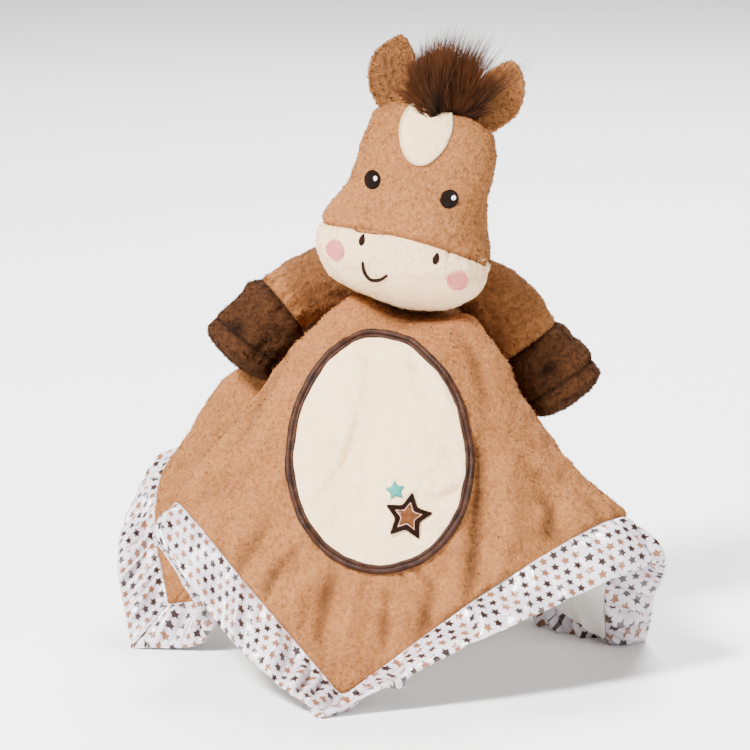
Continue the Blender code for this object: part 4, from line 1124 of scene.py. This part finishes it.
def make_face(tree):
    """Eyes, nostrils, cheeks, mouth and blaze, all sewn on the head."""
    def on_face(name, loops, heights, finish, slot, stands_for=(), **k):
        """One sewn piece on the head, seen from in front of the face."""
        return applique(name, tree, face_frame, loops, heights, finish, "head", slot,
                        stands_for, **k)

    rings = (0.002, 0.3, 0.55, 0.78, 0.92, 1.0)
    dome = (0.0015, 0.00145, 0.0013, 0.001, 0.0006, 0.0001)
    for side, name in ((-1, "left"), (1, "right")):
        eye = np.array((side * eye_spacing / 2 + upper_face_shift, eye_up * head_half[2]))
        on_face(f"stitched_eye_{name}", filled(oval(eye_width, eye_height, eye, 40), rings),
                dome, iris_stitch, "brown_thread", [f"eye_{name}"])
        iris = oval(iris_width, iris_height, eye + (0.0002, 0.0), 40)
        on_face(f"stitched_iris_{name}", filled(iris, rings), np.array(dome) * 0.2 + 0.0014,
                iris_stitch, "brown_thread")
        glint = oval(glint_width, glint_height, eye + (0.0019, 0.0013), 20)
        on_face(f"stitched_glint_{name}", filled(glint, rings), np.array(dome) * 0.3 + 0.0017,
                glint_stitch, "white_thread", [f"eye_glint_{name}"])
        nostril = np.array((side * nostril_spacing / 2, nostril_up * head_half[2]))
        a = 2 * math.pi * np.arange(32) / 32
        y = -np.cos(a)
        x = np.sin(a) * (1 - 0.45 * np.maximum(0, y))
        leaf = np.stack((x * nostril_width / 2, y * nostril_height / 2), axis=-1) + nostril
        on_face(f"stitched_nostril_{name}", filled(leaf, rings), dome, brown_stitch,
                "brown_thread", [f"nostril_{name}"])
        cheek = np.array((side * cheek_spacing / 2, cheek_up * head_half[2]))
        disc = oval(2 * cheek_radius, 2 * cheek_radius, cheek, 60)
        on_face(f"stitched_cheek_{name}", filled(disc, rings), np.array(dome) * 0.35,
                pink_stitch, "pink_thread", [f"cheek_{name}"])
        where = np.linspace(0.06, 1, 260)
        spiral = 2 * math.pi * 5.5 * where
        wobble = 1 + 0.035 * np.sin(spiral * 3.3 + side)
        path = cheek + (cheek_radius * where * wobble)[:, None] * np.stack(
            (np.cos(spiral), np.sin(spiral)), axis=-1)
        ahead = unit(np.gradient(path, axis=0))
        aside = np.stack((-ahead[:, 1], ahead[:, 0]), axis=-1)
        loops = [path + aside * w for w in np.linspace(-0.00034, 0.00034, 5)]
        heights = [0.0007 + 0.0004 * math.sqrt(1 - (k / 2.05) ** 2) for k in range(-2, 3)]
        uv = np.array([[(r, k * 0.0002) for r in run_along(path)] for k in range(5)])
        on_face(f"cheek_thread_{name}", loops, heights, blush_stitch, "pink_thread", uv=uv,
                ring=False)
    mouth = np.array(MOUTH_SHARES) * (head_half[0], head_half[2])
    where = np.linspace(0, 1, 40)
    path = along(mouth, np.linspace(0, 1, len(mouth)), where)
    way = unit(np.gradient(path, axis=0))
    side = np.stack((-way[:, 1], way[:, 0]), axis=-1)
    across = np.linspace(-1, 1, 7)
    taper = mouth_stitch_width / 2 * (1 - 0.35 * np.abs(2 * where - 1) ** 3)
    loops = [path + side * (w * taper)[:, None] for w in across]
    heights = [0.0012 * math.sqrt(max(0.02, 1 - w * w)) for w in across]
    uv = np.array([[(r, w * 0.001) for r in run_along(path)] for w in across])
    on_face("stitched_mouth", loops, heights, brown_stitch, "brown_thread",
            ["mouth_stitching"], uv=uv, ring=False)
    middle = np.array((upper_face_shift, blaze_up * head_half[2]))

    def blaze(grow):
        """The blaze's outline, grown outwards."""
        return oval(blaze_width + 2 * grow, blaze_height + 2 * grow, middle, 72, -0.16)

    on_face("cream_blaze", filled(blaze(0), np.linspace(0.002, 1, 16)),
            [0.0011 - 0.0004 * t**6 for t in np.linspace(0, 1, 16)], cream_plush,
            "cream_plush", ["forehead_blaze"])
    half = blaze_stitch_width / 2
    stitched_rim("blaze_rim", tree, face_frame, blaze(half), blaze(-half), 0.0015, white_stitch,
                 "head", "white_thread", ["blaze_stitching"])


crown, muzzle = make_head()
make_face(tree_of(crown, muzzle))


# The ears and the mane
# Width and thickness of an ear at each height, in shares
EAR_SHARES = ((0.0, 0.62, 0.25), (0.25, 0.88, 0.8), (0.55, 1.0, 1.0), (0.8, 0.93, 1.0),
              (1.0, 0.7, 1.0))


def make_ears():
    """Padded ears, hollow in front."""
    made = {}
    # The last number is each ear's painted shade: the left ear is painted darker than the right
    for side, name, lean, tone in ((-1, "left", left_ear_lean, 0.4),
                                   (1, "right", right_ear_lean, 0.15)):
        foot = head_frame @ Vector((side * ear_spacing / 2, 0, ear_up * head_half[2]))
        turn = head_frame.to_3x3().to_4x4() @ Matrix.Rotation(lean, 4, "Y")
        place = np.array(Matrix.Translation(foot) @ turn)
        rows, columns = 80, 90
        down = np.linspace(0, math.pi, rows)[:, None]
        a = 2 * math.pi * np.arange(columns)[None, :] / columns
        x = np.cos(a) * np.sin(down)
        y = np.sin(a) * np.sin(down)
        z = np.cos(down) * np.ones_like(a)
        up = (z + 1) / 2
        table = np.array(EAR_SHARES)
        wide, thick = along(table[:, 1:], table[:, 0], up.ravel()).T
        wide, thick = wide.reshape(up.shape), thick.reshape(up.shape)
        hollow = 0.5 * ear_thickness * (1 - x**2) * (1 - z**2)
        rim = np.exp(-((np.hypot(x, z) - 1) / 0.12) ** 2)
        points = np.stack((
            x * wide * ear_width / 2,
            y * thick * ear_thickness / 2 + hollow - 0.0012 * rim * (y < 0),
            up * ear_height,
        ), axis=-1)
        out = unit(points - points.mean(axis=(0, 1)))
        lift = 0.0005 * ripple(points, 0.02, 111 + side) + 0.0001 * ripple(points, 0.004, 113)
        points = points + out * lift[..., None]
        points = points @ place[:3, :3].T + place[:3, 3]
        # Painted shade, darker toward the ear's middle, with a painted highlight on its rim
        painted_shade = tone + 0.2 * np.exp(-(np.hypot(x, z) / 0.6) ** 2) - 0.2 * rim
        ear = make_piece(f"plush_ear_{name}", points, grid_faces(rows, columns, True), tan_plush,
                         f"{name}_ear", [f"ear_{name}"], hollow=painted_shade)
        mend(ear, True)
        made[name] = ear
    return made


def blades(name, roots, ways, sides, lengths, width, shades, tip_shade, finish, body,
           droop=0.0, segments=5, normals=None, stands_for=()):
    """Fibres as thin tapering strips that curve over under their own weight."""
    t = np.linspace(0, 1, segments + 1)
    points = roots[:, None] + ways[:, None] * (lengths[:, None] * t[None])[..., None]
    fall = np.array((0, 0, -1.0)) * droop
    points = points + fall * (lengths[:, None] * t[None] ** 2)[..., None]
    half = width * (1 - t**1.5)[None, :, None] / 2
    left, right = points - sides[:, None] * half, points + sides[:, None] * half
    grid = np.stack((left, right), axis=2)
    count = len(roots)
    per = 2 * (segments + 1)
    base = np.arange(count)[:, None] * per
    k = np.arange(segments)[None] * 2
    quads = np.stack((base + k, base + k + 1, base + k + 3, base + k + 2), axis=-1).reshape(-1, 4)
    shade = shades[:, None] + (tip_shade * t**1.6)[None]
    shade = np.repeat(shade[..., None], 2, axis=2)
    piece = make_piece(name, grid, quads, finish, body, stands_for, shade=shade)
    if normals is not None:
        spread = np.repeat(normals, per, axis=0)
        piece.data.normals_split_custom_set_from_vertices(spread.tolist())


def make_mane(skin):
    """Long fur that stands up between the ears, from a point at the top of the blaze."""
    middle, reach = 0.0056, 0.0162
    made = rng(121)
    count = 17000
    across, back = made.uniform(-1, 1, (2, count))
    tree = tree_of(skin)
    away = (head_frame.to_3x3() @ Vector((0, 0, -1))).normalized()
    base, rooted = [], []
    for i, (a, b) in enumerate(zip(across, back)):
        x = middle + reach * a
        edge = -0.0132 - 0.003 * math.exp(-((x / 0.004) ** 2)) + 0.4 * abs(x)
        y = edge + (b + 1) / 2 * (0.019 - abs(a) * 0.006 - edge)
        hit = tree.ray_cast(head_frame @ Vector((x, y, 0.12)), away)[0]
        if hit is not None:
            base.append(hit + away * 0.0006)
            rooted.append(i)
    base, across, back = np.array(base), across[rooted], back[rooted]
    count = len(base)
    clump = ripple(base, 0.0075, 122)
    sway = ripple(base, 0.0055, 123)
    stray = made.uniform(0, 1, count) < 0.14 + 0.1 * np.abs(across)
    wide = np.where(stray, np.where(across < 0.1, 2.4 * across - 0.5, 1.1 * across), 0.0)
    lean = np.stack((across * 0.34 - 0.2 + 0.2 * clump + made.normal(0, 0.09, count) + wide,
                     0.28 * back + 0.2 * sway + made.normal(0, 0.12, count) - 0.3 * stray,
                     np.ones(count)), axis=-1)
    ways = unit(lean) @ head_turn[:3, :3].T
    lengths = np.interp(across, (-1.0, -0.5, 0.0, 0.5, 1.0), (0.028, 0.042, 0.047, 0.040, 0.025))
    lengths = lengths * (1 - 0.12 * (back + 1)) * np.where(stray, 0.55, 1.0)
    lengths = lengths * (0.56 + 0.5 * made.uniform(0, 1, count)) * (1 + 0.24 * clump)
    sides = unit(np.cross(ways, made.normal(size=(count, 3))))
    shades = np.clip(0.15 + 0.12 * sway + 0.14 * made.normal(size=count), 0, 0.8)
    blades("mane_fibres", base, ways, sides, lengths, 0.00045, shades, 0.5, mane_fur, "head",
           0.12, 5, None, ["mane_tuft"])


ears = make_ears()
make_mane(crown)

# The arms
# Middle lines from the shoulder, in shares of half the side and of the neck's height, where on
# the arm's length their points lie, and how far the arm has swelled to the hoof's size on its way
ARM_LEFT_SHARES = (
    (0.0, 0.0, 0.0), (0.150, 0.024, 0.034), (0.292, -0.018, 0.108), (0.395, -0.042, 0.240),
)
ARM_RIGHT_SHARES = (
    (0.0, 0.0, 0.0), (0.125, 0.003, 0.092), (0.221, -0.002, 0.219), (0.312, -0.012, 0.364),
)
ARM_KNOTS = (0.0, 0.3, 0.65, 1.0)
ARM_SWELL_SHARES = ((0.0, 0.0), (0.3, 0.3), (0.55, 0.3), (0.68, 0.45), (0.9, 1.0), (1.0, 1.0))
arm_rise = 0.0186
sole_seam = 0.0062


def arm_pivot(side):
    """Where an arm turns: the middle of its round root, just clear of the neck."""
    away = neck_radius + arm_root_radius + arm_gap
    behind = neck_forward + arm_back
    return np.array((side * math.sqrt(away**2 - behind**2), arm_back, neck_height + arm_rise))


def make_arm(side, name):
    """A sleeve and a hoof that meet in a gathered seam, with a dimple and a seam at the end."""
    shares = np.array(ARM_LEFT_SHARES if side < 0 else ARM_RIGHT_SHARES)
    line = shares * (side * half_side, half_side, -neck_height)
    pivot = arm_pivot(side)

    def middle(share):
        """Places on the arm's middle line."""
        return pivot + along(line, ARM_KNOTS, share)

    length = np.linalg.norm(middle(1.0)[0] - middle(0.0)[0])
    root = arm_root_radius
    seam = ARM_KNOTS[-2] * length
    columns = 110
    turn = 2 * math.pi * np.arange(columns) / columns

    def form(run, grow):
        """Rings round the arm at distances from its root, closed to a pole past either end."""
        share = np.clip(run / length, 0, 1)
        swell = along([row[1] for row in ARM_SWELL_SHARES],
                      [row[0] for row in ARM_SWELL_SHARES], share)
        start = np.minimum(1, share / ARM_SWELL_SHARES[1][0])
        wide = sleeve_width / 2 + swell * (hoof_width - sleeve_width) / 2
        deep = sleeve_depth / 2 + swell * (hoof_depth - sleeve_depth) / 2
        wide, deep = (root + (a - root) * start for a in (wide, deep))
        closing = np.ones_like(run)
        early, late = run < 0, run > length
        closing[early] = np.sqrt(np.clip(1 - (run[early] / root) ** 2, 0, 1))
        over = (run[late] - length) / sole_length
        closing[late] = np.sqrt(np.clip(1 - over**2, 0, 1))
        way = unit(middle(np.minimum(1, share + 0.02)) - middle(np.maximum(0, share - 0.02)))
        across = unit(np.cross(np.array((0.0, 1.0, 0.0)), way))
        outwards = np.cross(way, across)
        beyond = np.minimum(0, run) + np.maximum(0, run - length)
        centre = middle(share) + way * beyond[:, None]
        ring_w = (wide * closing)[:, None] + grow * closing[:, None] ** 0.5
        ring_d = (deep * closing)[:, None] + grow * closing[:, None] ** 0.5
        return (centre[:, None]
                + across[:, None] * (np.cos(turn) * ring_w)[..., None]
                + outwards[:, None] * (np.sin(turn) * ring_d)[..., None])

    pieces = []
    for part, finish, slot in (("sleeve", tan_plush, "tan_plush"),
                               ("hoof", brown_plush, "brown_plush")):
        if part == "sleeve":
            t = np.concatenate((1 - np.cos(np.linspace(0, math.pi / 2, 24)),
                                np.linspace(1, (seam + root) / root, 67)[1:]))
            run = t * root - root
        else:
            bulk = np.linspace(0, 1, 52)
            last = np.sin(np.linspace(0, math.pi / 2, 29))[1:]
            run = np.concatenate((seam + bulk * (length - seam), length + last * sole_length))
        off = np.abs(run - seam)[:, None]
        ring = turn[None, :] * arm_ring
        seed = 131 + (part == "hoof") + 3 * (side > 0)
        grow = -0.0019 * np.exp(-(off / 0.0015) ** 2) - puckers(
            ring, off, 2 * math.pi * arm_ring, 17, seed, (0.0004, 0.0018), (0.0012, 0.003),
            (0.004, 0.014))
        if part == "sleeve":
            grow += 0.0009 * np.exp(-((run[:, None] - 0.3 * length) / 0.02) ** 2)
        else:
            end = (length - run)[:, None]
            grow += 0.0012 * np.exp(-((off - 0.006) / 0.004) ** 2)
            grow += 0.0004 * np.exp(-((end + 0.0006) / 0.0018) ** 2)
            grow -= 0.001 * np.exp(-((end - sole_seam) / 0.0011) ** 2)
            grow -= puckers(ring, np.abs(end - 0.006), 2 * math.pi * arm_ring, 15, 141 + side,
                            (0.0003, 0.0012), (0.0012, 0.003), (0.004, 0.009))
            facing = 1.5 * math.pi + (0.5 if side < 0 else 0)
            face = np.abs(np.mod(turn[None, :] - facing + math.pi, 2 * math.pi)
                          - math.pi) * 0.02
            dent = run[:, None] - 0.5 * (seam + length) - (0.0075 if side < 0 else 0)
            dent = np.hypot(face / 0.0046, dent / 0.0032)
            grow -= 0.0016 * np.exp(-dent ** 2)
        grow = np.maximum(grow, -arm_sink)
        points = form(run, grow)
        out = unit(points - points.mean(axis=1, keepdims=True))
        lift = 0.0006 * ripple(points, 0.024, 151) + 0.0003 * ripple(points, 0.01, 152)
        lift += 0.0001 * ripple(points, 0.0045, 153)
        lift = np.maximum(lift, -arm_sink - grow)
        points = points + out * lift[..., None]
        # Painted shade in the seams, puckers and dents, paler on their crests
        painted_shade = 0.2 * np.clip((-grow - 0.3 * lift) / 0.0016, -0.3, 1)
        count = len(points) + 1
        tuck = 0.0012 if part == "sleeve" else -0.0012
        back_in = form(np.array([seam + tuck]), np.full((1, columns), -0.006))
        if part == "sleeve":
            # Painted shade: the whole sleeve darker, the left one more as it lies in the head's
            # shadow; a painted
            # sheen band paler next to the hoof seam, where the pile lies the other way; darker
            # toward the
            # shoulder; and one side of the left sleeve painted paler where the light falls on it
            painted_shade += 0.56 if side < 0 else 0.26
            painted_shade -= 0.55 * np.exp(-(off / 0.0105) ** 4)
            painted_shade += 0.2 * np.clip(1 - run / (0.7 * length), 0, 1)[:, None]
            painted_shade -= 0.35 * np.maximum(0, -np.cos(turn))[None, :] * (side < 0)
            painted_shade = np.concatenate((painted_shade, painted_shade[-1:]))
            points = np.concatenate((points, back_in))
            lid = range((count - 1) * columns, count * columns)
        else:
            # Painted shade: the left hoof darker all over, and darker in the dimple and the
            # sole's seam
            painted_shade += 0.15 if side < 0 else 0
            painted_shade += 0.5 * np.exp(-(dent / 1.1) ** 2)
            painted_shade += 0.3 * np.exp(-((end - sole_seam) / 0.0012) ** 2)
            painted_shade = np.concatenate((painted_shade[:1], painted_shade))
            points = np.concatenate((back_in, points))
            lid = range(columns)
        points = points + stand_shift
        faces = [list(f) for f in grid_faces(count, columns, True)] + [list(lid)]
        piece = make_piece(f"plush_{part}_{name}", points, faces, finish, f"{name}_arm",
                           [("arm_sleeve_" if part == "sleeve" else "hoof_") + name],
                           hollow=painted_shade)
        mend(piece, True)
        pieces.append(piece)
    return pieces


arms = {name: make_arm(side, name) for side, name in ((-1, "left"), (1, "right"))}


# The pile
def make_pile(name, piece, count, length, finish, seed, keep=None):
    """Short fibres over a plush piece, leaning down the way the pile lies."""
    mesh = piece.data
    mesh.calc_loop_triangles()
    tris = np.empty(len(mesh.loop_triangles) * 3, int)
    mesh.loop_triangles.foreach_get("vertices", tris)
    tris = tris.reshape(-1, 3)
    points = mesh_points(mesh)
    a, b, c = (points[tris[:, i]] for i in range(3))
    cross = np.cross(b - a, c - a)
    area = np.linalg.norm(cross, axis=1)
    if keep is not None:
        area = area * keep((a + b + c) / 3, unit(cross))
    made = rng(seed)
    picks = made.choice(len(tris), count, p=area / area.sum())
    r, s = made.uniform(size=(2, count))
    turned = r + s > 1
    r, s = np.where(turned, 1 - r, r), np.where(turned, 1 - s, s)
    root = a[picks] + (b - a)[picks] * r[:, None] + (c - a)[picks] * s[:, None]
    normal = unit(cross[picks])
    lie = np.array((0.1, -0.1, -1.0)) + 0.5 * np.stack(
        [ripple(root, 0.03, seed + i) for i in (1, 2, 3)], axis=-1)
    tuft = np.stack([ripple(root, 0.0034, seed + i, 40) for i in (4, 5, 6)], axis=-1)
    lie = unit(lie - normal * (lie * normal).sum(axis=1, keepdims=True))
    # The plush piece's painted shade, read at each fibre's root, darkens the fibres there
    values = np.empty(len(mesh.vertices), np.float32)
    mesh.attributes["hollow"].data.foreach_get("value", values)
    painted_shade = (values[tris[picks]] * np.stack((1 - r - s, r, s), axis=1)).sum(axis=1)
    way = unit(normal * 0.75 + lie * 0.55 + 0.6 * tuft + made.normal(0, 0.2, (count, 3)))
    side = unit(np.cross(way, normal + made.normal(0, 0.2, (count, 3))))
    reach = length * made.uniform(0.6, 1.15, count)
    crest = ripple(root, 0.0034, seed + 7, 40)
    shades = 0.36 + 0.13 * made.normal(size=count) + 0.13 * crest - 0.8 * painted_shade
    shades = np.clip(shades, -1, 1)
    leaned = unit(normal + 0.75 * tuft + 0.3 * made.normal(size=(count, 3)))
    blades(name, root - normal * 0.0002, way, side, reach, 0.0004, shades, 0.35, finish,
           piece["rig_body"], 0.0, 1, leaned)


def on_outside(points, normals):
    """Pile only where the blanket's upper face shows, and not under the patch."""
    reach, _ = patch_reach(points)
    front = points[:, 1] < stand_shift[1] - 0.03
    spots, upward = (a[::3, ::3].reshape(-1, 3)
                     for a in panel_surface(panel_columns, panel_rows)[:2])
    tree = KDTree(len(spots))
    for i, p in enumerate(spots):
        tree.insert(p, i)
    tree.balance()
    near = np.array([tree.find(p)[1] for p in points])
    top = (upward[near] * normals).sum(axis=1) > 0.3
    return (top & ~(front & (reach < 0.001))).astype(float)


def off_seam(points, normals):
    """Pile only where it can't hang across the seam between the crown and the muzzle."""
    turn = np.linspace(0, 2 * math.pi, 240)
    line = in_head(head_points(turn, seam_down(turn)))
    nearest = np.full(len(points), 9.0)
    for spot in line:
        nearest = np.minimum(nearest, np.linalg.norm(points - spot, axis=1))
    return (nearest > 0.0018).astype(float)


make_pile("panel_pile", panel, 90000, 0.0017, tan_pile, 201, keep=on_outside)
make_pile("crown_pile", crown, 42000, 0.0014, tan_pile, 202, keep=off_seam)
make_pile("muzzle_pile", muzzle, 22000, 0.001, cream_pile, 203, keep=off_seam)
for name, ear in ears.items():
    make_pile(f"ear_pile_{name}", ear, 9000, 0.0016, tan_pile, 204)
for name, (sleeve, hoof) in arms.items():
    make_pile(f"sleeve_pile_{name}", sleeve, 16000, 0.0016, tan_pile, 205)
    make_pile(f"hoof_pile_{name}", hoof, 14000, 0.0016, brown_pile, 206)


# Floor, light and camera
def floor_finish():
    """Matt paper, nearly white."""
    f = Finish("pale_floor", 0.8)
    tone = f.noise(f.place(), 0.5, 2.0)
    f.colour(f.mix(tone, rgb(250, 250, 250), rgb(253, 253, 253)))
    return f.material


def make_studio():
    """Pale floor, white world and three lamps."""
    bpy.ops.object.select_all(action="DESELECT")
    bpy.ops.mesh.primitive_plane_add(size=12, location=(0, 2, 0))
    floor = bpy.context.object
    floor.name = "studio_floor"
    floor.data.materials.append(floor_finish())
    world = bpy.data.worlds.new("studio_world")
    world.use_nodes = True
    world.node_tree.nodes["Background"].inputs["Color"].default_value = (1, 1, 1, 1)
    world.node_tree.nodes["Background"].inputs["Strength"].default_value = 0.25
    bpy.context.scene.world = world
    for name, place, size, power in (
        ("key_light", (-1.05, -1.3, 1.8), 0.45, 235.0),
        ("fill_light", (1.7, -1.6, 0.8), 1.4, 34.0),
        ("back_light", (0.4, 1.6, 2.2), 1.6, 200.0),
    ):
        light = bpy.data.lights.new(name, "AREA")
        light.size = size
        light.energy = power
        lamp = bpy.data.objects.new(name, light)
        bpy.context.scene.collection.objects.link(lamp)
        lamp.location = place
        aim = Vector((0, 0, 0.17)) - lamp.location
        lamp.rotation_euler = aim.to_track_quat("-Z", "Y").to_euler()


def make_camera():
    """The photo's view, through a long lens that looks down a little."""
    camera = bpy.data.cameras.new("photo_camera")
    camera.lens = camera_lens
    camera.sensor_width = camera_sensor
    camera.clip_end = 50
    holder = bpy.data.objects.new("photo_camera", camera)
    bpy.context.scene.collection.objects.link(holder)
    away = np.array((0, -math.cos(view_tilt), math.sin(view_tilt)))
    holder.location = view_target + away * view_distance
    holder.rotation_euler = (math.radians(90) - view_tilt, 0, 0)
    bpy.context.scene.camera = holder


make_studio()
make_camera()
